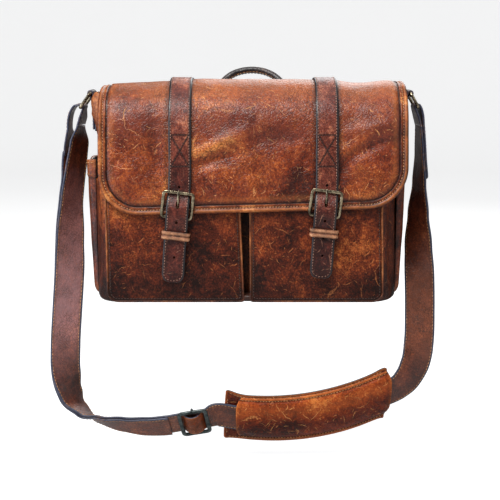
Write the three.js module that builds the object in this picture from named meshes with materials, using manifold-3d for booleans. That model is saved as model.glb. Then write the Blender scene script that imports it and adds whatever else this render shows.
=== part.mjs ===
// Leather satchel bag with a folding flap, two buckled flap straps, two front
// pockets, two side pockets, a rolled handle and an adjustable, padded shoulder strap.
// Units: millimetres. +Z up, front of the bag faces -Y, +X is to the right seen
// from the front. Origin: centre of the underside of the base.
import * as THREE from 'three';
import { mergeVertices } from 'three/addons/utils/BufferGeometryUtils.js';
import Module from 'manifold-3d';

const wasm = await Module();
wasm.setup();

// ---------------------------------------------------------------- shared dimensions
const GAP = 0.3;              // clearance between neighbouring pieces
const PIN_CLEARANCE = 0.35;   // play between a wire bar and the hole round it
const BODY_HW = 187;          // half width of the main compartment over its gussets
const WALL_HW = 186;          // half width of the base, front panel and back panel
const Y_BACK = 62;            // outer face of the back panel
const Y_MID = -28;            // outer face of the front panel, behind the pockets
const Y_FRONT = -62;          // outer face of the front pockets
const WALL = 3;               // lined leather wall
const BASE_T = 4;             // reinforced base
const BODY_Z = 238;           // top edge of the front panel; the gussets rise from it
const BACK_Z = 252;           // top edge of the back panel
const BAND_T = 2.8;           // hinge band on the back panel

const FLAP_CX = 8;            // the flap sits a little to the right of centre
const FLAP_HW = 182;          // half width of the flap leather inside its piping

// flap straps; leans are degrees from upright, negative leans towards -X going down
const STRAPS = [              // x: centre at the fold, cut: z of the tip, rise: holes and bar
  { side: 'left', x: -80.5, lean: -4.5, cut: 27.5, frameLean: -3, rise: 0 },
  { side: 'right', x: 97.3, lean: -3.4, cut: 32.5, frameLean: -4, rise: 2.0 },
];
const STRAP_FREE_Z = 150;     // below this height the straps hang free and lean

const RING_Z = 253.8;         // height of both rings' upper bars, which run along Y
const RING_Y = 15;            // centre of the rings
const RING_WIRE = 1.8;        // radius of the ring wire
const RINGS = [               // top and low: x, z of the ring's upper and lower bars
  { side: 'left', sign: -1, top: [-194.5, RING_Z], low: [-207, 236.4] },
  { side: 'right', sign: 1, top: [203.9, RING_Z], low: [213.6, 236.8] },
];

const HANDLE_CX = 7;          // centre of the handle
const HANDLE_SPREAD = 46;     // half spread of the handle's ends

const SIDES = [
  { side: 'left', sign: -1 },
  { side: 'right', sign: 1 },
];

// ---------------------------------------------------------------- materials
const leather = ({ color, roughness = 0.55 }) =>
  new THREE.MeshStandardMaterial({ color, roughness, metalness: 0 });
const metal = ({ color, roughness = 0.35 }) =>
  new THREE.MeshStandardMaterial({ color, roughness, metalness: 1 });

const BROWN = leather({ color: 0x6b3018 });
const TOP_TAN = leather({ color: 0x7d3c1c });
const DARK = leather({ color: 0x3d1c12 });
const LINING = leather({ color: 0x5a4632, roughness: 0.9 });
const PAINTED = leather({ color: 0x4a2416 });
const TAN = leather({ color: 0x8a4a24 });
const BRASS = metal({ color: 0x8a7440 });
const GUNMETAL = metal({ color: 0x2f3230, roughness: 0.45 });

// ---------------------------------------------------------------- meshes and solids
const rad = THREE.MathUtils.degToRad;
const vec = (x, y, z) => new THREE.Vector3(x, y, z);

const group = new THREE.Group();
group.name = 'satchel';
const flapTop = new THREE.Group();
const flapFront = new THREE.Group();

function add(parent, name, geo, material) {
  const mesh = new THREE.Mesh(geo, material);
  mesh.name = name;
  parent.add(mesh);
}

// six times the signed volume; negative when the faces point inwards
function signedVolume(points, index) {
  let sum = 0;
  for (let i = 0; i < index.length; i += 3) {
    const [a, b, c] = [0, 1, 2].map((k) => points[index[i + k]]);
    sum += a.dot(b.clone().cross(c));
  }
  return sum;
}

function geometry(points, index) {
  if (signedVolume(points, index) < 0) {
    for (let i = 0; i < index.length; i += 3) {
      [index[i], index[i + 1]] = [index[i + 1], index[i]];
    }
  }
  const positions = points.flatMap((point) => [point.x, point.y, point.z]);
  const geo = new THREE.BufferGeometry();
  geo.setAttribute('position', new THREE.Float32BufferAttribute(positions, 3));
  geo.setIndex(index);
  return geo;
}

// closed skin over a row of equal convex sections; the side faces that start at the
// section corners listed in crossed are split along their other diagonal
function loft(sections, ring = false, crossed = []) {
  const corners = sections[0].length;
  const count = sections.length;
  const index = [];
  const spans = ring ? count : count - 1;
  for (let i = 0; i < spans; i++) {
    const a = i * corners;
    const b = ((i + 1) % count) * corners;
    for (let j = 0; j < corners; j++) {
      const k = (j + 1) % corners;
      if (crossed.includes(j)) index.push(a + j, b + j, a + k, b + j, b + k, a + k);
      else index.push(a + j, b + j, b + k, a + j, b + k, a + k);
    }
  }
  if (!ring) {
    const end = (count - 1) * corners;
    for (let j = 1; j < corners - 1; j++) {
      index.push(0, j, j + 1);
      index.push(end, end + j + 1, end + j);
    }
  }
  return geometry(sections.flat(), index);
}

// sheet with thickness between two grids of points
function slab(outer, inner) {
  const rows = outer.length;
  const cols = outer[0].length;
  const out = (i, j) => i * cols + j;
  const inn = (i, j) => rows * cols + i * cols + j;
  const index = [];
  const quad = (a, b, c, d) => index.push(a, b, c, a, c, d);
  const lastRow = rows - 1;
  const lastCol = cols - 1;
  for (let i = 0; i < lastRow; i++) {
    for (let j = 0; j < lastCol; j++) {
      quad(out(i, j), out(i, j + 1), out(i + 1, j + 1), out(i + 1, j));
      quad(inn(i, j), inn(i + 1, j), inn(i + 1, j + 1), inn(i, j + 1));
    }
    quad(out(i, 0), out(i + 1, 0), inn(i + 1, 0), inn(i, 0));
    quad(out(i, lastCol), inn(i, lastCol), inn(i + 1, lastCol), out(i + 1, lastCol));
  }
  for (let j = 0; j < lastCol; j++) {
    quad(out(0, j), inn(0, j), inn(0, j + 1), out(0, j + 1));
    quad(out(lastRow, j), out(lastRow, j + 1), inn(lastRow, j + 1), inn(lastRow, j));
  }
  return geometry([...outer.flat(), ...inner.flat()], index);
}

function toSolid(source) {
  const bare = source.clone();
  bare.deleteAttribute('normal');
  bare.deleteAttribute('uv');
  const merged = mergeVertices(bare, 1e-4);
  return new wasm.Manifold(new wasm.Mesh({
    numProp: 3,
    vertProperties: new Float32Array(merged.attributes.position.array),
    triVerts: new Uint32Array(merged.index.array),
  }));
}

function fromSolid(solid) {
  const mesh = solid.getMesh();
  const geo = new THREE.BufferGeometry();
  geo.setAttribute('position', new THREE.Float32BufferAttribute(mesh.vertProperties, 3));
  geo.setIndex(Array.from(mesh.triVerts));
  return geo;
}

function box(x0, x1, y0, y1, z0, z1) {
  return new THREE.BoxGeometry(x1 - x0, y1 - y0, z1 - z0)
    .translate((x0 + x1) / 2, (y0 + y1) / 2, (z0 + z1) / 2);
}

// ---------------------------------------------------------------- outlines and plates
const rect = (a0, a1, b0, b1) => [[a0, b0], [a1, b0], [a1, b1], [a0, b1]];

const circle = (cx, cy, radius, count) => Array.from({ length: count }, (_, i) => {
  const angle = (i / count) * Math.PI * 2;
  return [cx + radius * Math.cos(angle), cy + radius * Math.sin(angle)];
});

// polygon with its corners rounded; radii is one number, or one per corner
function rounded(points, radii, steps = 4) {
  const count = points.length;
  return points.flatMap((point, i) => {
    const radius = Array.isArray(radii) ? radii[i] : radii;
    if (!radius) return [point];
    const corner = new THREE.Vector2(...point);
    const towards = (neighbour) => {
      const direction = new THREE.Vector2(...neighbour).sub(corner).normalize();
      return corner.clone().addScaledVector(direction, radius);
    };
    const start = towards(points[(i + count - 1) % count]);
    const end = towards(points[(i + 1) % count]);
    const curve = new THREE.QuadraticBezierCurve(start, corner, end);
    return curve.getPoints(steps).map((q) => [q.x, q.y]);
  });
}

// rounded rectangle drawn as a loop of corner arcs, from the corner at +halfWidth, low
function roundedLoop(halfWidth, low, high, radius, steps) {
  const side = halfWidth - radius;
  const arcs = [                // centre, start of the arc in degrees
    [side, low + radius, -90],
    [side, high - radius, 0],
    [-side, high - radius, 90],
    [-side, low + radius, 180],
  ];
  return arcs.flatMap(([cx, cy, start]) => Array.from({ length: steps + 1 }, (_, k) => {
    const angle = rad(start + (90 / steps) * k);
    return [cx + radius * Math.cos(angle), cy + radius * Math.sin(angle)];
  }));
}

function extrude(points, depth) {
  const shape = new THREE.Shape();
  points.forEach(([a, b], i) => (i ? shape.lineTo(a, b) : shape.moveTo(a, b)));
  shape.closePath();
  return new THREE.ExtrudeGeometry(shape, { depth, bevelEnabled: false, steps: 1 });
}

// shape drawn in x,z and extruded from y0 to y1
const plateXZ = (points, y0, y1) =>
  extrude(points, y1 - y0).rotateX(Math.PI / 2).translate(0, y1, 0);

// shape drawn in x,y and extruded from z0 to z1
const plateXY = (points, z0, z1) => extrude(points, z1 - z0).translate(0, 0, z0);

// shape drawn in y,z and extruded from x0 to x1
const plateYZ = (points, x0, x1) =>
  extrude(points, x1 - x0).rotateX(Math.PI / 2).rotateZ(Math.PI / 2).translate(x0, 0, 0);

// round wire along a list of points
function wire(points, radius, ring, facets = 8) {
  const count = points.length;
  let reference = null;
  const sections = points.map((point, i) => {
    const before = ring ? points[(i + count - 1) % count] : points[Math.max(i - 1, 0)];
    const after = ring ? points[(i + 1) % count] : points[Math.min(i + 1, count - 1)];
    const tangent = after.clone().sub(before).normalize();
    reference ??= Math.abs(tangent.x) < 0.9 ? vec(1, 0, 0) : vec(0, 0, 1);
    const across = reference.clone()
      .addScaledVector(tangent, -reference.dot(tangent)).normalize();
    const up = tangent.clone().cross(across);
    reference = across;
    return Array.from({ length: facets }, (_, k) => {
      const angle = (k + 0.5) / facets * Math.PI * 2;
      return point.clone()
        .addScaledVector(across, radius * Math.cos(angle))
        .addScaledVector(up, radius * Math.sin(angle));
    });
  });
  return loft(sections, ring);
}

// ---------------------------------------------------------------- main compartment
const WALL_FOOT = BASE_T + GAP;           // the walls and lining stand on the base
const GUSSET_Y = [Y_MID + WALL + GAP, Y_BACK - WALL - GAP];
const GUSSET_BACK_RISE = 6;               // the gussets' top edge climbs towards the back

function addWalls() {
  const base = rect(-WALL_HW, WALL_HW, Y_MID + 0.2, Y_BACK - 0.2);
  add(group, 'base_panel', plateXY(rounded(base, 9), 0, BASE_T), DARK);

  const wall = (top, radius) =>
    rounded(rect(-WALL_HW, WALL_HW, WALL_FOOT, top), [16, 16, radius, radius]);
  add(group, 'back_panel', plateXZ(wall(BACK_Z, 22), Y_BACK - WALL, Y_BACK), BROWN);
  add(group, 'front_panel', plateXZ(wall(BODY_Z, 10), Y_MID, Y_MID + WALL), BROWN);

  const [front, back] = GUSSET_Y;
  const gusset = rounded([
    [front, WALL_FOOT], [back, WALL_FOOT], [back, BODY_Z + GUSSET_BACK_RISE], [front, BODY_Z],
  ], [3, 3, 10, 10]);
  add(group, 'gusset_left', plateYZ(gusset, -BODY_HW, -BODY_HW + WALL), BROWN);
  add(group, 'gusset_right', plateYZ(gusset, BODY_HW - WALL, BODY_HW), BROWN);
}

// open-topped tray inside the walls
function addLining() {
  const thickness = 3;
  const floor = 4;
  const x = BODY_HW - WALL - GAP;
  const y0 = GUSSET_Y[0] + 0.1;
  const y1 = GUSSET_Y[1] - 0.1;
  const outside = toSolid(box(-x, x, y0, y1, WALL_FOOT, BODY_Z - 4));
  const inside = toSolid(box(
    -x + thickness, x - thickness, y0 + thickness, y1 - thickness,
    WALL_FOOT + floor, BODY_Z + 20,
  ));
  add(group, 'padded_lining', fromSolid(outside.subtract(inside)), LINING);
}

// band across the outside of the back panel, as wide as the flap
function addHingeBand() {
  const band = rounded(rect(FLAP_CX - FLAP_HW, FLAP_CX + FLAP_HW, 216, 253.4), [6, 6, 0, 0]);
  add(group, 'hinge_band', plateXZ(band, Y_BACK + GAP, Y_BACK + GAP + BAND_T), BROWN);
}

// ---------------------------------------------------------------- pockets
const POCKET_TOP = 150;       // top edge of the front pockets, under the flap
const POCKET_FOOT = 1;
const POCKET_T = 2.6;
// bottom and top: x of the left and right ends of each edge
// radii of the corners, from bottom left anticlockwise seen from the front
const FRONT_POCKETS = [
  {
    side: 'left', bottom: [-171, -2.5], top: [-172, -9],
    panelRadii: [13, 3, 3, 8], gussetRadii: [12, 3, 0, 0], hollowRadii: [10, 2, 0, 0],
  },
  {
    side: 'right', bottom: [4.3, 168.5], top: [3.4, 165],
    panelRadii: [3, 13, 8, 3], gussetRadii: [3, 12, 0, 0], hollowRadii: [2, 10, 0, 0],
  },
];

// a front panel and a U-shaped gusset behind it
function addFrontPocket({ side, bottom, top, panelRadii, gussetRadii, hollowRadii }) {
  const shape = (inset, topZ, radii) => rounded([
    [bottom[0] + inset, POCKET_FOOT + inset], [bottom[1] - inset, POCKET_FOOT + inset],
    [top[1] - inset, topZ], [top[0] + inset, topZ],
  ], radii);
  const panelBack = Y_FRONT + POCKET_T;
  const panel = plateXZ(shape(0, POCKET_TOP, panelRadii), Y_FRONT, panelBack);
  add(group, `front_pocket_panel_${side}`, panel, BROWN);

  const gussetTop = POCKET_TOP - 3;
  const outer = shape(1.5, gussetTop, gussetRadii);
  const hollow = shape(4, gussetTop + 20, hollowRadii);
  const gusset = toSolid(plateXZ(outer, panelBack + GAP, Y_MID - GAP))
    .subtract(toSolid(plateXZ(hollow, Y_FRONT, Y_MID + 10)));
  add(group, `front_pocket_gusset_${side}`, fromSolid(gusset), DARK);
}

const SIDE_X = 199.5;         // outer face of the side pockets
const SIDE_Z = [8, 172];
const SIDE_T = 2.5;

// open-topped, with slanted front and back corners
function addSidePocket({ side, sign }) {
  const wallX = BODY_HW + GAP;
  const shoulderX = SIDE_X - 5;
  const shape = (inset) => {
    const points = rounded([
      [wallX, -20 + inset], [shoulderX - inset * 0.4, -16 + inset],
      [SIDE_X - inset, -6 + inset], [SIDE_X - inset, 42 - inset],
      [shoulderX - inset * 0.4, 51 - inset], [wallX, 55 - inset],
    ], [0, 3, 5, 5, 3, 0]).map(([x, y]) => [sign * x, y]);
    return sign < 0 ? points.reverse() : points;
  };
  // the hollow runs on through the side against the bag
  const hollow = shape(SIDE_T)
    .map(([x, y]) => [Math.abs(x) <= wallX + 0.01 ? sign * (wallX - 10) : x, y]);
  const pocket = toSolid(plateXY(shape(0), SIDE_Z[0], SIDE_Z[1]))
    .subtract(toSolid(plateXY(hollow, SIDE_Z[0] + 3, SIDE_Z[1] + 20)));
  add(group, `side_pocket_${side}`, fromSolid(pocket), BROWN);
}

// ---------------------------------------------------------------- fittings on the body
const CHAPE_HW = 17;          // half width of a ring chape, along Y
const CHAPE_FOOT = 206;

// tab on the gusset that folds round the ring's upper bar
function addRingChape({ side, sign, top: [cx, cz] }) {
  const bore = RING_WIRE + PIN_CLEARANCE;
  const radius = bore + 2.3;
  const wallX = sign * (BODY_HW + GAP);
  const outerX = sign * (BODY_HW + GAP + 3.4);
  const near = radius * 0.5;
  const far = radius * 0.86;
  const tab = sign < 0
    ? [[outerX, CHAPE_FOOT], [wallX, CHAPE_FOOT], [wallX, 240],
      [cx + far, cz - near], [cx - near, cz - far], [outerX, 240]]
    : [[wallX, CHAPE_FOOT], [outerX, CHAPE_FOOT], [outerX, 237],
      [cx + near, cz - far], [cx - far, cz - near], [wallX, 242]];
  const solid = (points, halfWidth) =>
    toSolid(plateXZ(points, RING_Y - halfWidth, RING_Y + halfWidth));
  const chape = solid(circle(cx, cz, radius, 20), CHAPE_HW)
    .add(solid(tab, CHAPE_HW))
    .subtract(solid(circle(cx, cz, bore, 16), 30));
  add(group, `ring_chape_${side}`, fromSolid(chape), DARK);
}

// leather tab at the handle's end, on the back panel's band
function addHandlePatch({ side, sign }) {
  const cx = sign * HANDLE_SPREAD + HANDLE_CX;
  const front = Y_BACK + GAP + BAND_T + GAP;
  const patch = [[cx - 13, 196], [cx + 13, 196], [cx + 11, 236], [cx - 11, 236]];
  const plate = plateXZ(rounded(patch, [8, 8, 3, 3]), front, front + 3.4);
  add(group, `handle_patch_${side}`, plate, DARK);
}

// clasp plate on a front pocket, under its strap
function addClaspCatch({ side, x, lean }) {
  const strapZ = 68;          // the plate is centred on the strap at this height
  const cx = x + Math.tan(rad(lean)) * (STRAP_FREE_Z - strapZ);
  const plate = rounded(rect(cx - 13, cx + 13, 56, 82), 4, 2);
  const back = Y_FRONT - GAP;
  add(group, `clasp_catch_${side}`, plateXZ(plate, back - 2.4, back), BRASS);
}

// ---------------------------------------------------------------- flap surface
const FLAP_T = 4;             // lined flap leather
const FLAP_CORNER = 46;       // radius of the two lower corners
const FLAP_COLS = 10;         // divisions across the flap
const PIPING_R = 2.7;
const PIPING_OUT = GAP + PIPING_R;        // piping centre line, out from the flap's edge
const CROWN = 9;              // how far the flap's dome drops at the sides
// outer surface of the flap as y, z: rear edge to front fold, then fold to lower edge
const TOP_PROFILE = [
  [65.3, 255.2], [62.6, 262.0], [56, 266.0], [44, 268.8], [28, 270.5],
  [10, 271], [-8, 269.6], [-22, 265.8], [-33, 259.8], [-42, 252],
];
const FRONT_PROFILE = [
  [-42, 252], [-49, 244.5], [-55.5, 233], [-60, 218], [-62.8, 200],
  [-64.8, 180], [-66.4, 158], [-67.6, 138], [-68.6, 118],
];
const FOLD_RISE = 4.2;        // the fold axis lies this far outside the flap's surface
const FOLD_GAP = 0.2;         // each half of the flap stops this far short of the fold
const PIPING_FOLD_GAP = 0.1;  // and its piping this much more

// spaced points along a smooth profile; each Vector2 holds y, z
const profilePoints = (profile, count) =>
  new THREE.SplineCurve(profile.map(([y, z]) => new THREE.Vector2(y, z)))
    .getSpacedPoints(count);

const foldNormal = vec(0, -0.68, 0.733).normalize();
const foldTangent = vec(0, -0.733, -0.68).normalize();
// a point on the axis, parallel to X, about which the flap's front folds
export const foldAxis = vec(0, ...TOP_PROFILE.at(-1)).addScaledVector(foldNormal, FOLD_RISE);

const topLine = profilePoints(TOP_PROFILE, 20);
const topEnd = topLine.length - 1;
const topNormals = topLine.map((_, i) => {
  if (i === topEnd) return foldNormal;
  const span = topLine[i + 1].clone().sub(topLine[Math.max(i - 1, 0)]);
  return vec(0, span.y, -span.x).normalize();
});

// point of the flap's top: i along the profile, x across, height above the surface
function topPoint(i, x, height) {
  const offCentre = (x - FLAP_CX) / FLAP_HW;
  const drop = CROWN * offCentre * offCentre * Math.sin(Math.PI * i / topEnd) ** 2;
  const point = vec(x, topLine[i].x, topLine[i].y - drop)
    .addScaledVector(topNormals[i], height);
  if (i === topEnd) point.addScaledVector(foldTangent, -FOLD_GAP);
  if (i === 0) point.z += 0.15;
  return point;
}

const frontLine = profilePoints(FRONT_PROFILE, 18);
const frontCurve = new THREE.SplineCurve(frontLine);
const FRONT_LENGTH = frontLine.slice(1)
  .reduce((sum, point, i) => sum + point.distanceTo(frontLine[i]), 0);
const CORNER_START = FRONT_LENGTH - FLAP_CORNER;
const SIDE_STATIONS = [0, 6, 13, 21, 30, 42, 56, 72];   // distance from the fold
const CORNER_STEPS = 8;

// point of the flap's front: distance down from the fold, x across, height above it
function frontPoint(distance, x, height) {
  const along = Math.min(distance / FRONT_LENGTH, 1);
  const surface = frontCurve.getPointAt(along);
  const tangent = frontCurve.getTangentAt(along);
  const normal = distance === 0 ? foldNormal : vec(0, tangent.y, -tangent.x);
  const point = vec(x, surface.x, surface.y).addScaledVector(normal, height);
  if (distance === 0) point.addScaledVector(foldTangent, FOLD_GAP);
  return point;
}

// ---------------------------------------------------------------- flap pieces
const acrossFlap = (halfWidth) => Array.from({ length: FLAP_COLS + 1 }, (_, k) =>
  FLAP_CX - halfWidth + 2 * halfWidth * k / FLAP_COLS);

function addFlapTop() {
  const columns = acrossFlap(FLAP_HW);
  const grid = (height) => topLine.map((_, i) => columns.map((x) => topPoint(i, x, height)));
  add(flapTop, 'flap_top_panel', slab(grid(0), grid(-FLAP_T)), TOP_TAN);
  for (const { side, sign } of SIDES) {
    const x = FLAP_CX + sign * (FLAP_HW + PIPING_OUT);
    const path = topLine.map((_, i) => topPoint(i, x, -FLAP_T / 2)).slice(1);
    path.at(-1).addScaledVector(foldTangent, -PIPING_FOLD_GAP);
    add(flapTop, `flap_top_piping_${side}`, wire(path, PIPING_R, false, 6), TAN);
  }
}

function addFlapFront() {
  const halfWidthAt = (distance) => {
    const down = distance - CORNER_START;
    if (down <= 0) return FLAP_HW;
    return FLAP_HW - FLAP_CORNER + Math.sqrt(Math.max(FLAP_CORNER ** 2 - down ** 2, 0));
  };
  const stations = [...SIDE_STATIONS];
  for (let k = 0; k <= CORNER_STEPS; k++) {
    // stops just short of the quarter circle's end
    const angle = (k / CORNER_STEPS) * Math.PI / 2 * 0.985;
    stations.push(CORNER_START + FLAP_CORNER * Math.sin(angle));
  }
  const grid = (height) => stations.map((distance) =>
    acrossFlap(halfWidthAt(distance)).map((x) => frontPoint(distance, x, height)));
  add(flapFront, 'flap_front_panel', slab(grid(0), grid(-FLAP_T)), TOP_TAN);
}

// piping down one side, round the lower edge and up the other side
function addFlapPiping() {
  const endTangent = frontCurve.getTangentAt(1);
  const pipingPoint = (distance, x) => {
    // continues past the lower edge along the end tangent
    const past = Math.max(distance - FRONT_LENGTH, 0);
    return frontPoint(distance, x, -FLAP_T / 2)
      .add(vec(0, endTangent.x * past, endTangent.y * past));
  };
  const radius = FLAP_CORNER + PIPING_OUT;
  const halfPath = (sign) => {
    const path = SIDE_STATIONS.map((distance) =>
      pipingPoint(distance, FLAP_CX + sign * (FLAP_HW + PIPING_OUT)));
    path[0].addScaledVector(foldTangent, PIPING_FOLD_GAP);
    const cornerX = FLAP_CX + sign * (FLAP_HW - FLAP_CORNER);
    for (let k = 0; k <= CORNER_STEPS; k++) {
      const angle = (k / CORNER_STEPS) * Math.PI / 2;
      path.push(pipingPoint(
        CORNER_START + radius * Math.sin(angle),
        cornerX + sign * radius * Math.cos(angle),
      ));
    }
    return path;
  };
  const path = [...halfPath(-1), ...halfPath(1).reverse()];
  add(flapFront, 'flap_piping', wire(path, PIPING_R, false, 6), TAN);
}

// ---------------------------------------------------------------- flap straps
const STRAP_T = 3.2;          // two layers of leather
const STRAP_HW = 13.8;        // half width
const STRAP_LIFT = 2 * GAP;   // underside of the strap above the flap
const STRAP_FLAP_STATIONS = [0, 5, 11, 18, 26, 36, 48, 62, 80];   // distance from the fold
const HOLES = [144, 122, 101.7, 80.2, 58.6];
const PRONG_HOLE = 1;         // the prong comes through this one, a longer slot
// z, y of the inner face of the strap's free length
const STRAP_FREE_RUN = [
  [141, -68.3], [133, -70.0], [126, -73.2], [120, -75.5], [114, -76.3], [108, -76.2],
  [102, -74.8], [97, -73.0], [92, -71.7], [85, -71.0], [78, -70.9], [68, -70.9],
  [56, -70.8], [46, -69.8],
];
// height above the cut end, y of the inner face, share of the full width
const STRAP_TIP = [[7, -69.0, 1], [2.2, -68.7, 0.8], [0, -68.6, 0.45]];

// x of a flap strap's centre line at height z on its free length
const strapX = ({ x, lean }, z) => x + Math.tan(rad(lean)) * (STRAP_FREE_Z - z);

function addStrapTop({ side, x }) {
  const firstRow = 2;         // starts a little forward of the flap's rear edge
  const grid = (height) => topLine.map((_, i) =>
    [x - STRAP_HW, x + STRAP_HW].map((edge) => topPoint(i, edge, height))).slice(firstRow);
  const strap = slab(grid(STRAP_LIFT + STRAP_T), grid(STRAP_LIFT));
  add(flapTop, `strap_top_${side}`, strap, PAINTED);
}

// lies on the flap, then hangs free with a slight lean
function addStrapFront(strap) {
  const { side, x, cut, rise } = strap;
  const left = x - STRAP_HW;
  const right = x + STRAP_HW;
  const outer = STRAP_LIFT + STRAP_T;
  const sections = STRAP_FLAP_STATIONS
    .filter((distance) => frontPoint(distance, 0, 0).z > STRAP_FREE_Z + 6)
    .map((distance) => [
      frontPoint(distance, left, STRAP_LIFT), frontPoint(distance, right, STRAP_LIFT),
      frontPoint(distance, right, outer), frontPoint(distance, left, outer),
    ]);
  const free = [
    [STRAP_FREE_Z, -67.7, 1],
    ...STRAP_FREE_RUN.map(([z, y]) => [z + rise, y, 1]),
    ...STRAP_TIP.map(([above, y, share]) => [cut + above, y, share]),
  ];
  for (const [z, y, share] of free) {
    const cx = strapX(strap, z);
    const hw = STRAP_HW * share;
    sections.push([
      vec(cx - hw, y, z), vec(cx + hw, y, z),
      vec(cx + hw, y - STRAP_T, z), vec(cx - hw, y - STRAP_T, z),
    ]);
  }

  let solid = toSolid(loft(sections));
  const punch = (holeZ, below, above, radius) => {
    const z = holeZ + rise;
    const cx = strapX(strap, z);
    const hole = rect(cx - radius, cx + radius, z - below, z + above);
    solid = solid.subtract(toSolid(plateXZ(rounded(hole, radius * 0.7, 2), -95, -55)));
  };
  punch(HOLES[PRONG_HOLE], 6.6, 5.4, 2.3);
  HOLES.forEach((z, i) => {
    if (i !== PRONG_HOLE) punch(z, 1.9, 1.9, 1.9);
  });
  add(flapFront, `strap_front_${side}`, fromSolid(solid), PAINTED);
}

// ---------------------------------------------------------------- buckles
// Buckle pieces are drawn about the centre of the heel bar, the frame's lower bar.
const HEEL_Z = 106.5;         // height of the heel bars, behind the straps
const HEEL_Y = -70.6;
const BUCKLE_SHIFT = -1.4;    // the frames sit a little to one side of their straps
const BUCKLE_HW = 18;         // half width of a buckle frame, centre line
const BUCKLE_H = 31;          // heel bar to top bar
const BUCKLE_TOP_Y = -3.9;    // the top bar stands forward of the heel bar
const BUCKLE_CORNER = 4;
const BUCKLE_WIRE = 1.75;     // radius of the buckle wire
// prong's tongue: y, z of the centre line from the eye to the tip
const PRONG_LINE = [
  [-1.9, 1.6], [-2.3, 5.5], [-2.5, 9.5], [-3.4, 13], [-5.2, 17],
  [-7.0, 21.5], [-7.4, 26], [-7.2, 30.6], [-6.3, 34.2],
];
// billet's side view: y from the heel bar, z in the bag's frame
const TAB_OUTLINE = [[-0.6, 102.6], [2.0, 102.2], [3.0, 90], [3.0, 58], [0.4, 58], [0.4, 92]];
const KEEPER_Z = 85;
const KEEPER_LEAN = -2;       // degrees, added to the strap's lean
const KEEPER_HW = 15.3;       // half width of the opening
const KEEPER_Y = [-5.3, 3.3]; // front and back of the opening
const KEEPER_T = 1.9;
const KEEPER_HH = 5.2;        // half height
const fromHeel = (z) => z - HEEL_Z;

function buckleFrame() {
  const loop = roundedLoop(BUCKLE_HW, 0, BUCKLE_H, BUCKLE_CORNER, 3)
    .map(([x, z]) => vec(x + BUCKLE_SHIFT, BUCKLE_TOP_Y * (z / BUCKLE_H), z));
  return wire(loop, BUCKLE_WIRE, true);
}

// an eye round the heel bar and a tongue that rests on the top bar
function buckleProng() {
  const last = PRONG_LINE.length - 1;
  const sections = PRONG_LINE.map(([y, z], i) => {
    const before = new THREE.Vector2(...PRONG_LINE[Math.max(i - 1, 0)]);
    const tangent = new THREE.Vector2(...PRONG_LINE[Math.min(i + 1, last)])
      .sub(before).normalize();
    const hw = i === last ? 0.9 : 1.4;
    const ht = i === last ? 0.7 : 1.0;
    return rect(-hw, hw, -ht, ht)
      .map(([x, off]) => vec(x, y - tangent.y * off, z + tangent.x * off));
  });
  const eye = toSolid(plateYZ(circle(0, 0, 3.2, 14), -1.6, 1.6));
  const bore = toSolid(plateYZ(circle(0, 0, BUCKLE_WIRE + PIN_CLEARANCE, 14), -6, 6));
  return fromSolid(eye.add(toSolid(loft(sections))).subtract(bore));
}

function buckleKeeper(rise) {
  const [front, back] = KEEPER_Y;
  const outerHW = KEEPER_HW + KEEPER_T;
  const outer = rounded(rect(-outerHW, outerHW, front - KEEPER_T, back + KEEPER_T), 2, 2);
  const opening = rect(-KEEPER_HW, KEEPER_HW, front, back);
  const keeper = toSolid(plateXY(outer, -KEEPER_HH, KEEPER_HH))
    .subtract(toSolid(plateXY(opening, -9, 9)));
  return fromSolid(keeper).rotateY(rad(-KEEPER_LEAN))
    .translate(0, 0, fromHeel(KEEPER_Z) + rise * 0.6);
}

function addBuckle(strap) {
  const { side, lean, frameLean, rise } = strap;
  const heelZ = HEEL_Z + rise;
  const heelX = strapX(strap, heelZ);
  const fit = (name, geo, material, turn = lean) => {
    geo.rotateY(rad(-turn)).translate(heelX, HEEL_Y, heelZ);
    add(flapFront, `${name}_${side}`, geo, material);
  };
  fit('buckle_frame', buckleFrame(), BRASS, lean + frameLean);
  fit('buckle_prong', buckleProng(), BRASS);
  // billet behind the strap, its keeper and the clasp tongue
  const tab = TAB_OUTLINE.map(([y, z]) => [y, fromHeel(z)]);
  fit('buckle_tab', plateYZ(tab, -11.5, 11.5), PAINTED);
  fit('keeper', buckleKeeper(rise), TAN);
  const tongue = rounded(rect(-12, 12, fromHeel(58.5), fromHeel(77)), 4, 2);
  fit('clasp_tongue', plateXZ(tongue, 3.3, 5.5), BRASS);
}

// ---------------------------------------------------------------- handle and rings
const HANDLE_BASE = [71.2, 239];          // y, z of the handle's ends
const HANDLE_TOP = [97.5, 281.6];         // y, z of its highest point
const HANDLE_R = 4.6;

function addHandle() {
  const base = vec(0, ...HANDLE_BASE);
  const lift = vec(0, ...HANDLE_TOP).sub(base);
  const steps = 22;
  const path = [];
  for (let k = 0; k <= steps; k++) {
    const angle = Math.PI * (1 - k / steps);
    path.push(vec(HANDLE_CX + Math.cos(angle) * HANDLE_SPREAD, base.y, base.z)
      .addScaledVector(lift, Math.sin(angle) ** 0.8));
  }
  add(group, 'handle', wire(path, HANDLE_R, false), DARK);
}

const RING_HY = 22;           // half length of the rings along Y, centre line
const RING_CORNER = 3.2;

function addRing({ side, top, low }) {
  const upper = vec(top[0], RING_Y, top[1]);
  const down = vec(low[0], RING_Y, low[1]).sub(upper);
  const length = down.length();
  down.normalize();
  const loop = roundedLoop(RING_HY, 0, length, RING_CORNER, 3)
    .map(([y, along]) => upper.clone().addScaledVector(down, along).add(vec(0, y, 0)));
  add(group, `ring_${side}`, wire(loop, RING_WIRE, true), BRASS);
}

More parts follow.
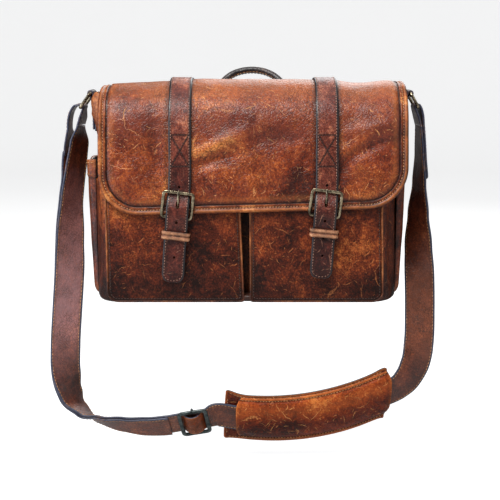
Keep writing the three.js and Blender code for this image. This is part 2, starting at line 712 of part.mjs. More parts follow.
// ---------------------------------------------------------------- shoulder strap
const SHOULDER_HW = 19;       // half width of the shoulder strap
const SHOULDER_T = 2.6;       // one layer
const LAYER_PITCH = 3.3;      // pitch of the two layers
const PAD_C = [25.5, 195.2];  // centre of the arc the shoulder pad follows (x, z)
const PAD_R = 360;
const PAD_Y = -5;
const PAD_TILT = -68;         // degrees the strap is turned at the pad
const SLIDER_TILT = -52;      // and at the slider

// point on the pad's arc; degrees from straight down, positive towards +X
const arcPoint = (deg) =>
  [PAD_C[0] + PAD_R * Math.sin(rad(deg)), PAD_Y, PAD_C[1] - PAD_R * Math.cos(rad(deg))];

// control points from the left ring, under the bag, to the right ring:
// x, y, z, turn of the strap about its own run in degrees
const STRAP_PATH = [
  [-209.2, 15, 214, 6], [-211.8, 13.5, 190, 30], [-217, 11, 155, 36], [-221.8, 8.5, 120, 40],
  [-224.6, 5, 70, 60], [-226, 2, 30, 76], [-229.5, -1, -20, 86], [-232.5, -3, -65, 84],
  [-232.5, -4.5, -100, 70], [-226.5, -5, -130, 40], [-213, -5, -150.5, 8],
  [-191, -5, -163.5, -24], [-160, -5, -170.3, -40], [-130, -5, -173.2, -49],
  [-104, -5, -172, SLIDER_TILT], [-86, -5, -169, SLIDER_TILT], [-68, -5, -166, SLIDER_TILT],
  [-50, -5, -163, SLIDER_TILT - 3],
  ...[-10.2, -6, -1, 4, 9, 14, 19, 24].map((deg) => [...arcPoint(deg), PAD_TILT]),
  [...arcPoint(28.2), PAD_TILT + 2],
  [207.5, -4.5, -108, -30], [217.5, -4, -91, 30], [220.8, -3, -66, 62], [221.6, -1, -20, 80],
  [220.8, 2, 20, 80], [219, 6, 60, 60], [218.4, 10, 100, 36], [219.2, 13, 140, 18],
  [218.9, 14.5, 180, 8], [217.2, 15, 214, 3],
];
const PATH_END = STRAP_PATH.length - 1;
const RETURN_SPAN = [0.5, 14.25];         // doubled length, counted in control points
const SEWN_SPAN = [PATH_END - 2, PATH_END - 0.25];
const SLIDER_AT = 16;                     // control point under the slider
const RIBBON_STEPS = 4;                   // stations per control point
const strapCurve = new THREE.CatmullRomCurve3(
  STRAP_PATH.map(([x, y, z]) => vec(x, y, z)), false, 'centripetal',
);

// directions across and square to the strap, from its outward and frontward directions
function turnedAxes(outward, frontward, turn) {
  const cos = Math.cos(turn);
  const sin = Math.sin(turn);
  const width = frontward.clone().multiplyScalar(cos).addScaledVector(outward, sin);
  const normal = outward.clone().multiplyScalar(cos).addScaledVector(frontward, -sin);
  return { width, normal };
}

// place and axes of the strap; station counts control points
function strapFrame(station) {
  const along = station / PATH_END;
  const point = strapCurve.getPoint(along);
  const tangent = strapCurve.getPoint(Math.min(along + 1e-4, 1))
    .sub(strapCurve.getPoint(Math.max(along - 1e-4, 0))).normalize();
  const i = Math.min(Math.floor(station), PATH_END - 1);
  const part = station - i;
  const blend = part * part * (3 - 2 * part);
  const turn = rad(STRAP_PATH[i][3] * (1 - blend) + STRAP_PATH[i + 1][3] * blend);
  // away from the middle of the loop, square to the run
  const outward = vec(tangent.z, 0, -tangent.x).normalize();
  const frontward = vec(0, -1, 0);
  frontward.addScaledVector(tangent, -frontward.dot(tangent)).normalize();
  return { point, tangent, ...turnedAxes(outward, frontward, turn) };
}

function addRibbon(name, [start, end], offset) {
  const sections = [];
  const steps = Math.round((end - start) * RIBBON_STEPS);
  const halfT = SHOULDER_T / 2;
  for (let k = 0; k <= steps; k++) {
    const { point, width, normal } = strapFrame(start + k / RIBBON_STEPS);
    sections.push(rect(-SHOULDER_HW, SHOULDER_HW, -halfT, halfT).map(([across, off]) =>
      point.clone().addScaledVector(width, across).addScaledVector(normal, offset + off)));
  }
  // both faces are split along the same diagonals
  add(group, name, loft(sections, false, [2]), PAINTED);
}

// the strap's turn round a ring's lower bar
function addStrapLoop({ side, low: [cx, cz] }) {
  const end = side === 'left' ? STRAP_PATH[0] : STRAP_PATH[PATH_END];
  const legX = end[0];
  const legZ = end[2];
  const innerR = RING_WIRE + 1.3;
  const toLeg = new THREE.Vector2(legX - cx, legZ - cz).normalize();
  const legAngle = Math.atan2(toLeg.y, toLeg.x);
  const opening = 0.5;        // radians left open on each side of the leg
  const arc = (radius) => Array.from({ length: 13 }, (_, k) => {
    const angle = legAngle + opening + (2 * Math.PI - 2 * opening) * k / 12;
    return [cx + radius * Math.cos(angle), cz + radius * Math.sin(angle)];
  });
  // square to the leg: a foot point on its end, and a slit point inside the loop
  const foot = (off) => [legX - toLeg.y * off, legZ + 1.8 + toLeg.x * off];
  const slit = (off) =>
    [cx + toLeg.x * 12 - toLeg.y * off, cz + toLeg.y * 12 + toLeg.x * off];
  const footHW = SHOULDER_T + 0.1;
  const outer = [...arc(innerR + SHOULDER_T), foot(-footHW), foot(footHW)];
  // slit ends: the first is (-toLeg.y, -toLeg.x) off the leg, the second its opposite
  const px = -toLeg.y * 0.25;
  const pz = toLeg.x * 0.25;
  const [midX, midZ] = slit(0);
  const inner = [...arc(innerR), [midX - px, midZ - pz], [midX + px, midZ + pz]];
  const solid = (points, hw) => toSolid(plateXZ(points, RING_Y - hw, RING_Y + hw));
  const loop = solid(outer, SHOULDER_HW).subtract(solid(inner, SHOULDER_HW + 5));
  add(group, `strap_loop_${side}`, fromSolid(loop), PAINTED);
}

// outer frame in front of the strap, middle bar behind it
function addSlider() {
  const hw = 23;              // half size across the strap
  const hl = 17;              // half size along the strap
  const lift = 4.2;           // frame above the strap's centre
  const steps = 2;
  const corners = roundedLoop(hl, -hw, hw, 3, steps);
  // the wire starts at the second corner
  const loop = [...corners.slice(steps + 1), ...corners.slice(0, steps + 1)]
    .map(([along, across]) => vec(along, across, lift));
  const bar = [                // across, off the strap
    [-hw, lift], [-hw + 0.6, -0.4], [-hw + 1.6, -3.6],
    [hw - 1.6, -3.6], [hw - 0.6, -0.4], [hw, lift],
  ].map(([across, off]) => vec(0, across, off));
  const slider = fromSolid(
    toSolid(wire(loop, 2.1, true)).add(toSolid(wire(bar, 1.7, false))),
  );
  const { point, tangent, width, normal } = strapFrame(SLIDER_AT);
  slider.applyMatrix4(new THREE.Matrix4().makeBasis(tangent, width, normal));
  slider.translate(point.x, point.y, point.z);
  add(group, 'slider_frame', slider, GUNMETAL);
}

// ---------------------------------------------------------------- shoulder pad
const PAD_BASE = [-8.2, 25.8];            // angular span of the base, degrees
const CUSHION_INSET = 0.25;               // degrees at each end
const PAD_COVER = [-5.7, 26.6];
const COVER_T = 2.2;
// cover's outer face: across, off the strap's centre
const COVER_PROFILE = [
  [-29.5, -1.9], [-28.5, 1.0], [-25, 3.6], [-14, 5.6], [0, 6.2],
  [14, 5.6], [25, 3.6], [28.5, 1.0], [29.5, -1.9],
];

// sections along the pad's arc; profileAt gives across, off points for a share of the run
function padSections([start, end], steps, profileAt) {
  return Array.from({ length: steps + 1 }, (_, k) => {
    const deg = start + (end - start) * k / steps;
    const centre = vec(...arcPoint(deg));
    const outward = vec(Math.sin(rad(deg)), 0, -Math.cos(rad(deg)));
    const { width, normal } = turnedAxes(outward, vec(0, -1, 0), rad(PAD_TILT));
    return profileAt(k / steps).map(([across, off]) =>
      centre.clone().addScaledVector(width, across).addScaledVector(normal, off));
  });
}

// half width of the pad, flaring at both ends
const flare = (share) => 32 + 2 * Math.max(0, 1 - share / 0.12) ** 2
  + 2 * Math.max(0, (share - 0.88) / 0.12) ** 2;

function padStrip(span, steps, inset, back, front) {
  return loft(padSections(span, steps, (share) => {
    const hw = flare(share) - inset;
    return [
      [-hw, back], [0, back], [hw, back],
      [hw, front], [0.55 * hw, front], [-0.55 * hw, front], [-hw, front],
    ];
  }));
}

// base leather behind the strap and a cushion behind that
function addPad() {
  add(group, 'pad_base', padStrip(PAD_BASE, 26, 0, -4.6, -2.2), TAN);
  const span = [PAD_BASE[0] + CUSHION_INSET, PAD_BASE[1] - CUSHION_INSET];
  add(group, 'pad_cushion', padStrip(span, 22, 1.5, -12.5, -4.9), DARK);
}

// arched sleeve over the strap, open at both ends
function addPadCover() {
  const last = COVER_PROFILE.length - 1;
  const inner = COVER_PROFILE.map(([across, off], i) => {
    const before = new THREE.Vector2(...COVER_PROFILE[Math.max(i - 1, 0)]);
    const tangent = new THREE.Vector2(...COVER_PROFILE[Math.min(i + 1, last)])
      .sub(before).normalize();
    // the two edges stay level with the outer face's edges
    const sink = i === 0 || i === last ? 0 : tangent.x * COVER_T;
    return [across + tangent.y * COVER_T, off - sink];
  });
  const rows = (profile) => padSections(PAD_COVER, 24, () => profile);
  add(group, 'pad_cover', slab(rows(COVER_PROFILE), rows(inner)), TAN);
}

// ---------------------------------------------------------------- assembly
addWalls();
addLining();
addHingeBand();
FRONT_POCKETS.forEach(addFrontPocket);
SIDES.forEach(addSidePocket);
RINGS.forEach(addRingChape);
SIDES.forEach(addHandlePatch);
STRAPS.forEach(addClaspCatch);

group.add(flapTop, flapFront);
addFlapTop();
addFlapFront();
addFlapPiping();
for (const strap of STRAPS) {
  addStrapTop(strap);
  addStrapFront(strap);
  addBuckle(strap);
}

addHandle();
RINGS.forEach(addRing);
addRibbon('shoulder_strap', [0, PATH_END], 0);
addRibbon('strap_return', RETURN_SPAN, LAYER_PITCH);
RINGS.forEach(addStrapLoop);
addRibbon('strap_end_right', SEWN_SPAN, LAYER_PITCH);
addSlider();
addPad();
addPadCover();

export default group;
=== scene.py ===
import math
import bpy
import numpy as np
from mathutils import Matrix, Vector


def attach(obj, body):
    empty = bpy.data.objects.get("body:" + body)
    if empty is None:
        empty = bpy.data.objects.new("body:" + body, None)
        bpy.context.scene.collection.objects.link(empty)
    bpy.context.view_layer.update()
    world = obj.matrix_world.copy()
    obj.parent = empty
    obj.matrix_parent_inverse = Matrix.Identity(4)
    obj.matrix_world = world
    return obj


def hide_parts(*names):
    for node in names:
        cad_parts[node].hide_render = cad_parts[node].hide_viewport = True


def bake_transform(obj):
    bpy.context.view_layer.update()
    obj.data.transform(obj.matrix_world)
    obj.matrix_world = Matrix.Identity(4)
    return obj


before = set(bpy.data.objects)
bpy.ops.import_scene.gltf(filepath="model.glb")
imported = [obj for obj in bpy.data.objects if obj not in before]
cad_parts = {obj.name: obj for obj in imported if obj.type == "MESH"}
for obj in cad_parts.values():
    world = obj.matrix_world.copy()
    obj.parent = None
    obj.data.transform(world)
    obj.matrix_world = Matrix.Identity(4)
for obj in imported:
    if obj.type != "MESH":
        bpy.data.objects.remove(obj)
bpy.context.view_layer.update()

MM = 0.001
rad = math.radians
scene = bpy.context.scene
TOP = scene.collection


# ------------------------------------------------------------------ numbers
def A(v):
    return np.asarray(v, float)


def unit(v):
    v = A(v)
    return v / np.maximum(np.linalg.norm(v, axis=-1, keepdims=True), 1e-12)


def sstep(a, b, x):
    t = np.clip((A(x) - a) / (b - a), 0, 1)
    return t * t * (3 - 2 * t)


def lerp(a, b, t):
    return a * (1 - t) + b * t


def catmull(points, k=16, closed=False):
    """Dense centripetal Catmull-Rom through the points."""
    P = A(points)
    n = len(P)
    if closed:
        Q = np.vstack([P[-1:], P, P[:2]])
        segs = n
    else:
        Q = np.vstack([2 * P[0] - P[1], P, 2 * P[-1] - P[-2]])
        segs = n - 1
    out = []
    for i in range(segs):
        p0, p1, p2, p3 = Q[i], Q[i + 1], Q[i + 2], Q[i + 3]
        t0 = 0.0
        t1 = t0 + max(np.linalg.norm(p1 - p0), 1e-6) ** 0.5
        t2 = t1 + max(np.linalg.norm(p2 - p1), 1e-6) ** 0.5
        t3 = t2 + max(np.linalg.norm(p3 - p2), 1e-6) ** 0.5
        t = np.linspace(t1, t2, k, endpoint=False)[:, None]
        a1 = (t1 - t) / (t1 - t0) * p0 + (t - t0) / (t1 - t0) * p1
        a2 = (t2 - t) / (t2 - t1) * p1 + (t - t1) / (t2 - t1) * p2
        a3 = (t3 - t) / (t3 - t2) * p2 + (t - t2) / (t3 - t2) * p3
        b1 = (t2 - t) / (t2 - t0) * a1 + (t - t0) / (t2 - t0) * a2
        b2 = (t3 - t) / (t3 - t1) * a2 + (t - t1) / (t3 - t1) * a3
        out.append((t2 - t) / (t2 - t1) * b1 + (t - t1) / (t2 - t1) * b2)
    if not closed:
        out.append(P[-1:])
    return np.vstack(out)


def run_of(poly):
    return np.concatenate([[0], np.cumsum(np.linalg.norm(np.diff(poly, axis=0), axis=1))])


def along(poly, s, run=None):
    run = run_of(poly) if run is None else run
    return np.stack([np.interp(s, run, poly[:, i]) for i in range(poly.shape[1])], -1)


def resample(poly, step, closed=False):
    if closed:
        poly = np.vstack([poly, poly[:1]])
    r = run_of(poly)
    n = max(int(round(r[-1] / step)), 2)
    s = np.linspace(0, r[-1], n + 1)
    if closed:
        s = s[:-1]
    return along(poly, s, r)


_perm = np.random.RandomState(7).permutation(512)
_grad = unit(np.random.RandomState(11).normal(size=(512, 3)))


def noise3(p, scale=1.0, seed=0):
    """Smooth gradient noise of points, about -1 to 1."""
    q = A(p) * scale + seed * 17.31
    i = np.floor(q).astype(int)
    f = q - i
    w = f * f * f * (f * (f * 6 - 15) + 10)
    total = 0
    for dx in (0, 1):
        for dy in (0, 1):
            for dz in (0, 1):
                h = _perm[(_perm[(_perm[(i[..., 0] + dx) % 512] + i[..., 1] + dy) % 512] + i[..., 2] + dz) % 512]
                g = _grad[h]
                d = f - A([dx, dy, dz])
                k = (w[..., 0] if dx else 1 - w[..., 0]) * (w[..., 1] if dy else 1 - w[..., 1]) * (w[..., 2] if dz else 1 - w[..., 2])
                total = total + k * (g * d).sum(-1)
    return total * 1.6


def fbm(p, scale, octaves=3, seed=0):
    v, a = 0, 1.0
    for o in range(octaves):
        v = v + a * noise3(p, scale * 2 ** o, seed + o)
        a *= 0.5
    return v / 1.75


# ------------------------------------------------------------------ meshes
def mesh_object(name, verts, faces, mats, fmat=None, uvm=None, wear=None, dark=None, smooth=True, tone=None):
    """A mesh in millimetres with the attributes the materials read."""
    me = bpy.data.meshes.new(name)
    V = A(verts) * MM
    me.from_pydata(V.tolist(), [], [tuple(int(i) for i in f) for f in faces])
    for m in mats:
        me.materials.append(m)
    if fmat is not None:
        me.polygons.foreach_set("material_index", np.asarray(fmat, np.int32))
    me.polygons.foreach_set("use_smooth", np.full(len(me.polygons), smooth, bool))
    n = len(V)

    def put(key, kind, data, field):
        a = me.attributes.new(key, kind, "POINT")
        a.data.foreach_set(field, np.ascontiguousarray(data, np.float32).ravel())

    put("rc", "FLOAT_VECTOR", V, "vector")
    if uvm is None:
        uvm = np.stack([V[:, 0] + 0.3 * V[:, 1], V[:, 2] + 0.4 * V[:, 1], V[:, 1]], -1)
    else:
        uvm = A(uvm) * MM
        if uvm.shape[1] == 2:
            uvm = np.hstack([uvm, np.zeros((n, 1))])
    put("uvm", "FLOAT_VECTOR", uvm, "vector")
    for key, data in (("wear", wear), ("dark", dark), ("tone", tone)):
        data = np.zeros(n) if data is None else np.broadcast_to(A(data), (n,))
        put(key, "FLOAT", data, "value")
    me.update()
    o = bpy.data.objects.new(name, me)
    TOP.objects.link(o)
    return o


def finish_piece(o, body, nodes=(), blend=None):
    if blend:
        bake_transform(o)
    else:
        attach(o, body)
    if nodes:
        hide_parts(*nodes)
    return o


def outward(verts, faces):
    """Flips all faces if the closed mesh is inside out."""
    V = A(verts)
    vol = 0.0
    for f in faces:
        a = V[f[0]]
        for i in range(1, len(f) - 1):
            vol += float(np.dot(a, np.cross(V[f[i]], V[f[i + 1]])))
    return [tuple(reversed(f)) for f in faces] if vol < 0 else faces


def grid_skin(rings, closed=False, caps=True):
    """Faces between equal rings of points; rings is (m, k, 3)."""
    R = A(rings)
    m, k = R.shape[:2]
    idx = np.arange(m * k).reshape(m, k)
    faces, seg, row = [], [], []
    last = m if closed else m - 1
    for i in range(last):
        a, b = idx[i], idx[(i + 1) % m]
        for j in range(k):
            j2 = (j + 1) % k
            faces.append((a[j], a[j2], b[j2], b[j]))
            seg.append(j)
            row.append(i)
    if caps and not closed:
        faces.append(tuple(idx[0][::-1]))
        faces.append(tuple(idx[-1]))
        seg += [-1, -1]
        row += [0, m - 1]
    return R.reshape(-1, 3), faces, np.array(seg), np.array(row)


def frames(path, ref=(0, 0, 1), closed=False):
    """Tangent, side and up along a path, without twist."""
    P = A(path)
    if closed:
        T = unit(np.roll(P, -1, 0) - np.roll(P, 1, 0))
    else:
        T = unit(np.gradient(P, axis=0))
    u = A(ref)
    U = []
    for t in T:
        u = u - t * np.dot(u, t)
        u = u / max(np.linalg.norm(u), 1e-9)
        U.append(u)
    U = A(U)
    return T, np.cross(T, U), U


def tube(name, path, r, mats, closed=False, sides=12, body=None, nodes=(), blend=None, ref=(0, 0, 1), profile=None,
         wearf=None, darkf=None, tone=None, ends=True):
    P = A(path)
    T, S, U = frames(P, ref, closed)
    a = (np.arange(sides) + 0.5) / sides * 2 * math.pi
    r = np.broadcast_to(A(r), (len(P),))
    if profile is None:
        ca, sa = np.cos(a), np.sin(a)
    else:
        ca, sa = profile[:, 0], profile[:, 1]
    if ends and not closed:
        # rounded ends
        P = np.vstack([P[:1] - T[:1] * r[0] * 0.45, P[:1] - T[:1] * r[0] * 0.3, P, P[-1:] + T[-1:] * r[-1] * 0.3, P[-1:] + T[-1:] * r[-1] * 0.45])
        T, S, U = [np.vstack([q[:1], q[:1], q, q[-1:], q[-1:]]) for q in (T, S, U)]
        r = np.concatenate([[r[0] * 0.55, r[0] * 0.86], r, [r[-1] * 0.86, r[-1] * 0.55]])
    rings = P[:, None, :] + r[:, None, None] * (ca[None, :, None] * S[:, None, :] + sa[None, :, None] * U[:, None, :])
    V, F, seg, row = grid_skin(rings, closed)
    F = outward(V, F)
    run = run_of(P)
    k = rings.shape[1]
    uvm = np.stack([np.repeat(run, k), np.tile(np.linspace(0, 2 * math.pi * float(r.mean()), k), len(P))], -1)
    o = mesh_object(name, V, F, mats, uvm=uvm, wear=None if wearf is None else wearf(V), dark=None if darkf is None else darkf(V), tone=tone)
    return finish_piece(o, body, nodes, blend) if (body or blend) else o


def strip_section(hw, t, cols=8, er=None, crown=0.0, lip=1.0):
    """Closed section of a strap, (a across, b thick), and which segments are painted edge.
    Goes along the top from -hw to hw, round the edge and back along the underside."""
    er = min(t * 0.5, er if er else t * 0.5)
    top = [(-hw + er + lip * 0.01, t / 2)]
    xs = np.linspace(-hw + er + lip, hw - er - lip, cols)
    pts, kind = [], []
    for x in xs:
        pts.append((x, t / 2 + crown * (1 - (x / hw) ** 2)))
        kind.append(0)
    kind[-1] = 1
    for d in np.linspace(0, 1, 5):
        a = math.pi / 2 - d * math.pi
        pts.append((hw - er + er * math.cos(a), (t / 2 - 0.0) * math.sin(a)))
        kind.append(1)
    for x in xs[::-1]:
        pts.append((x, -t / 2))
        kind.append(0)
    kind[-1] = 1
    for d in np.linspace(0, 1, 5):
        a = -math.pi / 2 - d * math.pi
        pts.append((-hw + er + er * math.cos(a), (t / 2) * math.sin(a)))
        kind.append(1)
    return A(pts), np.array(kind)


def ribbon(name, C, W, N, hw, t, mats, cols=8, crown=0.0, taper=None, offset=0.0, wear_amp=1.0, tone=None, jitter=None, lip=1.0, seed=0.0, er=None):
    """Strap along stations C with width directions W and normals N. mats = [leather, edge]."""
    sec, kind = strip_section(1.0, 1.0, cols)
    m = len(C)
    rings = []
    across = []
    for i in range(m):
        k = 1.0 if taper is None else taper[i]
        s, kind = strip_section(hw * k, t, cols, crown=crown, lip=lip, er=er)
        rings.append(C[i] + W[i] * s[:, :1] + N[i] * (s[:, 1:] + offset))
        across.append(s[:, 0])
    V, F, seg, row = grid_skin(A(rings))
    fm = np.where(seg < 0, 1, kind[np.clip(seg, 0, None)])
    flipped = outward(V, F)
    run = run_of(C)
    across = A(across)
    uvm = np.stack([across.ravel() + seed, np.repeat(run, len(kind)), np.full(across.size, seed)], -1)
    d = (hw - np.abs(across.ravel()))
    wear = np.exp(-np.clip(d, 0, None) / 1.6) * wear_amp
    # painted shade in the stitch grooves, 2.6 mm in from each edge
    dark = np.exp(-((d - 2.6) / 1.3) ** 2) * 0.5
    o = mesh_object(name, V, flipped, mats, fmat=fm, uvm=uvm, wear=wear, dark=dark, tone=tone)
    return o


class Threads:
    """Sewn stitches as small rounded capsules, gathered into one mesh."""

    def __init__(self):
        self.V, self.F, self.n = [], [], 0

    def many(self, c, t, nrm, length, r):
        """Adds one stitch at each row of c, lying along t, with nrm pointing out of the leather."""
        t = unit(t)
        nrm = unit(nrm - t * (t * nrm).sum(-1, keepdims=True))
        b = np.cross(t, nrm)
        L = length / 2
        x = A([-L, -L * 0.72, 0, L * 0.72, L])
        q = A([0.35, 0.95, 1.08, 0.95, 0.35])
        k = 6
        a = 2 * math.pi * np.arange(k) / k
        dip = -0.55 * r * (np.abs(x) / L) ** 2
        pts = (c[:, None, None, :] + t[:, None, None, :] * x[None, :, None, None] + b[:, None, None, :] * (r * q[:, None] * np.cos(a)[None])[None, :, :, None]
               + nrm[:, None, None, :] * (r * q[:, None] * np.sin(a)[None] + dip[:, None])[None, :, :, None])
        self.V.append(pts.reshape(-1, 3))
        base = []
        for i in range(4):
            for j in range(k):
                j2 = (j + 1) % k
                base.append((i * k + j, i * k + j2, (i + 1) * k + j2, (i + 1) * k + j))
        for s in range(len(c)):
            o = self.n + s * 30
            self.F += [tuple(o + v for v in f) for f in base]
            self.F.append(tuple(o + j for j in range(k))[::-1])
            self.F.append(tuple(o + 24 + j for j in range(k)))
        self.n += 30 * len(c)

    def line(self, pts, normals, pitch=4.2, length=3.0, r=0.42, slant=0.0, start=0.5):
        P = A(pts)
        N = A(normals)
        if N.ndim == 1:
            N = np.tile(N, (len(P), 1))
        run = run_of(P)
        n = max(int(run[-1] / pitch), 1)
        s = (np.arange(n) + start) * (run[-1] / n)
        c = along(P, s, run)
        a = along(P, np.maximum(s - length / 2, 0), run)
        b = along(P, np.minimum(s + length / 2, run[-1]), run)
        nn = unit(along(N, s, run))
        t = unit(b - a)
        if slant:
            t = unit(t + slant * np.cross(nn, t))
        self.many(c + nn * r * 0.15, t, nn, length, r)

    def make(self, name, mat, body=None, slot=None, blend=None):
        V = np.vstack(self.V)
        first = outward(V[:30], self.F[:26])
        faces = self.F if first[0] == self.F[0] else [f[::-1] for f in self.F]
        o = mesh_object(name, V, faces, [mat])
        return finish_piece(o, body, (), blend)


# ------------------------------------------------------------------ materials
def lin(r, g, b):
    def f(c):
        c = c / 255.0
        return c / 12.92 if c <= 0.04045 else ((c + 0.055) / 1.055) ** 2.4
    return (f(r), f(g), f(b), 1.0)


class Net:
    """Small helper that writes a node tree."""

    def __init__(self, name):
        self.m = bpy.data.materials.new(name)
        self.m.use_nodes = True
        self.t = self.m.node_tree
        self.t.nodes.clear()

    def node(self, kind, props=None, ins=None):
        n = self.t.nodes.new("ShaderNode" + kind)
        for k, v in (props or {}).items():
            setattr(n, k, v)
        for k, v in (ins or {}).items():
            s = n.inputs[k]
            if isinstance(v, bpy.types.NodeSocket):
                self.t.links.new(v, s)
            else:
                s.default_value = v
        return n

    def attr(self, name):
        return self.node("Attribute", {"attribute_type": "GEOMETRY", "attribute_name": name})

    def m1(self, op, a, b=0.0, c=0.0, clamp=False):
        return self.node("Math", {"operation": op, "use_clamp": clamp}, {0: a, 1: b, 2: c}).outputs[0]

    def add(self, a, b):
        return self.m1("ADD", a, b)

    def mul(self, a, b):
        return self.m1("MULTIPLY", a, b)

    def rng(self, x, a, b, c=0.0, d=1.0, kind="SMOOTHSTEP"):
        return self.node("MapRange", {"interpolation_type": kind, "clamp": True} if kind == "LINEAR" else {"interpolation_type": kind},
                         {"Value": x, "From Min": a, "From Max": b, "To Min": c, "To Max": d}).outputs[0]

    def mix(self, f, a, b, mode="MIX"):
        n = self.node("Mix", {"data_type": "RGBA", "blend_type": mode})
        for k, v in ((0, f), (6, a), (7, b)):
            if isinstance(v, bpy.types.NodeSocket):
                self.t.links.new(v, n.inputs[k])
            else:
                n.inputs[k].default_value = v
        return n.outputs[2]

    def noise(self, vec, scale, detail=2.0, rough=0.5, dist=0.0):
        return self.node("TexNoise", {"noise_dimensions": "3D"},
                         {"Vector": vec, "Scale": scale, "Detail": detail, "Roughness": rough, "Distortion": dist}).outputs[0]

    def noisec(self, vec, scale, detail=1.0):
        return self.node("TexNoise", {"noise_dimensions": "3D"}, {"Vector": vec, "Scale": scale, "Detail": detail}).outputs[1]

    def voro(self, vec, scale, feature="F1", dims="3D", rand=1.0):
        return self.node("TexVoronoi", {"feature": feature, "voronoi_dimensions": dims},
                         {"Vector": vec, "Scale": scale, "Randomness": rand})

    def vec(self, op, a, b=(0, 0, 0), scale=None):
        ins = {0: a, 1: b}
        n = self.node("VectorMath", {"operation": op}, ins)
        if scale is not None:
            n.inputs["Scale"].default_value = scale
        return n.outputs[0]

    def xyz(self, v):
        return self.node("SeparateXYZ", None, {0: v}).outputs

    def ramp(self, x, stops, interp="LINEAR"):
        n = self.node("ValToRGB", None, {0: x})
        cr = n.color_ramp
        cr.interpolation = interp
        while len(cr.elements) < len(stops):
            cr.elements.new(0.5)
        for e, (p, c) in zip(cr.elements, stops):
            e.position = p
            e.color = c
        return n.outputs[0]

    def strokes(self, uv, cell, length, width, keep, curve=0.0, shift=0.0):
        """Short bent scratch marks, one per cell at most, at any angle. Returns 0..1."""
        p = self.vec("ADD", uv, (shift, shift * 1.7, 0)) if shift else uv
        v = self.voro(p, 1.0 / cell, "F1", "2D", 0.9)
        d = self.vec("SUBTRACT", p, v.outputs["Position"])
        dx, dy, _ = self.xyz(d)
        r, g, b = self.xyz(v.outputs["Color"])
        a = self.mul(r, 6.2832)
        ca, sa = self.m1("COSINE", a), self.m1("SINE", a)
        x = self.add(self.mul(dx, ca), self.mul(dy, sa))
        y = self.m1("SUBTRACT", self.mul(dy, ca), self.mul(dx, sa))
        bend = self.mul(self.m1("SUBTRACT", g, 0.5), curve)
        y = self.add(y, self.mul(self.mul(x, x), bend))
        ln = self.m1("MULTIPLY_ADD", b, length * 0.75, length * 0.25)
        wd = self.m1("MULTIPLY_ADD", g, width * 0.8, width * 0.35)
        taper = self.m1("SUBTRACT", 1.0, self.m1("DIVIDE", self.m1("ABSOLUTE", x), ln), clamp=True)
        body = self.m1("SUBTRACT", self.mul(wd, self.m1("POWER", taper, 0.5)), self.m1("ABSOLUTE", y))
        mask = self.rng(body, 0.0, width * 0.5)
        sel = self.m1("LESS_THAN", self.m1("FRACT", self.mul(self.add(r, b), 7.31)), keep)
        return self.mul(mask, sel)

    def finish(self, color, rough=0.5, metallic=0.0, bump=None, coat=0.0, coat_rough=0.3, sheen=0.0, spec=0.5, sheen_tint=None):
        b = self.node("BsdfPrincipled")
        for k, v in (("Base Color", color), ("Roughness", rough), ("Metallic", metallic), ("Coat Weight", coat),
                     ("Coat Roughness", coat_rough), ("Sheen Weight", sheen), ("Specular IOR Level", spec)):
            if isinstance(v, bpy.types.NodeSocket):
                self.t.links.new(v, b.inputs[k])
            else:
                b.inputs[k].default_value = v
        if bump is not None:
            self.t.links.new(bump, b.inputs["Normal"])
        out = self.node("OutputMaterial")
        self.t.links.new(b.outputs[0], out.inputs[0])
        return self.m

    def bump(self, height, strength, distance, normal=None):
        ins = {"Height": height, "Strength": strength, "Distance": distance}
        if normal is not None:
            ins["Normal"] = normal
        return self.node("Bump", None, ins).outputs[0]


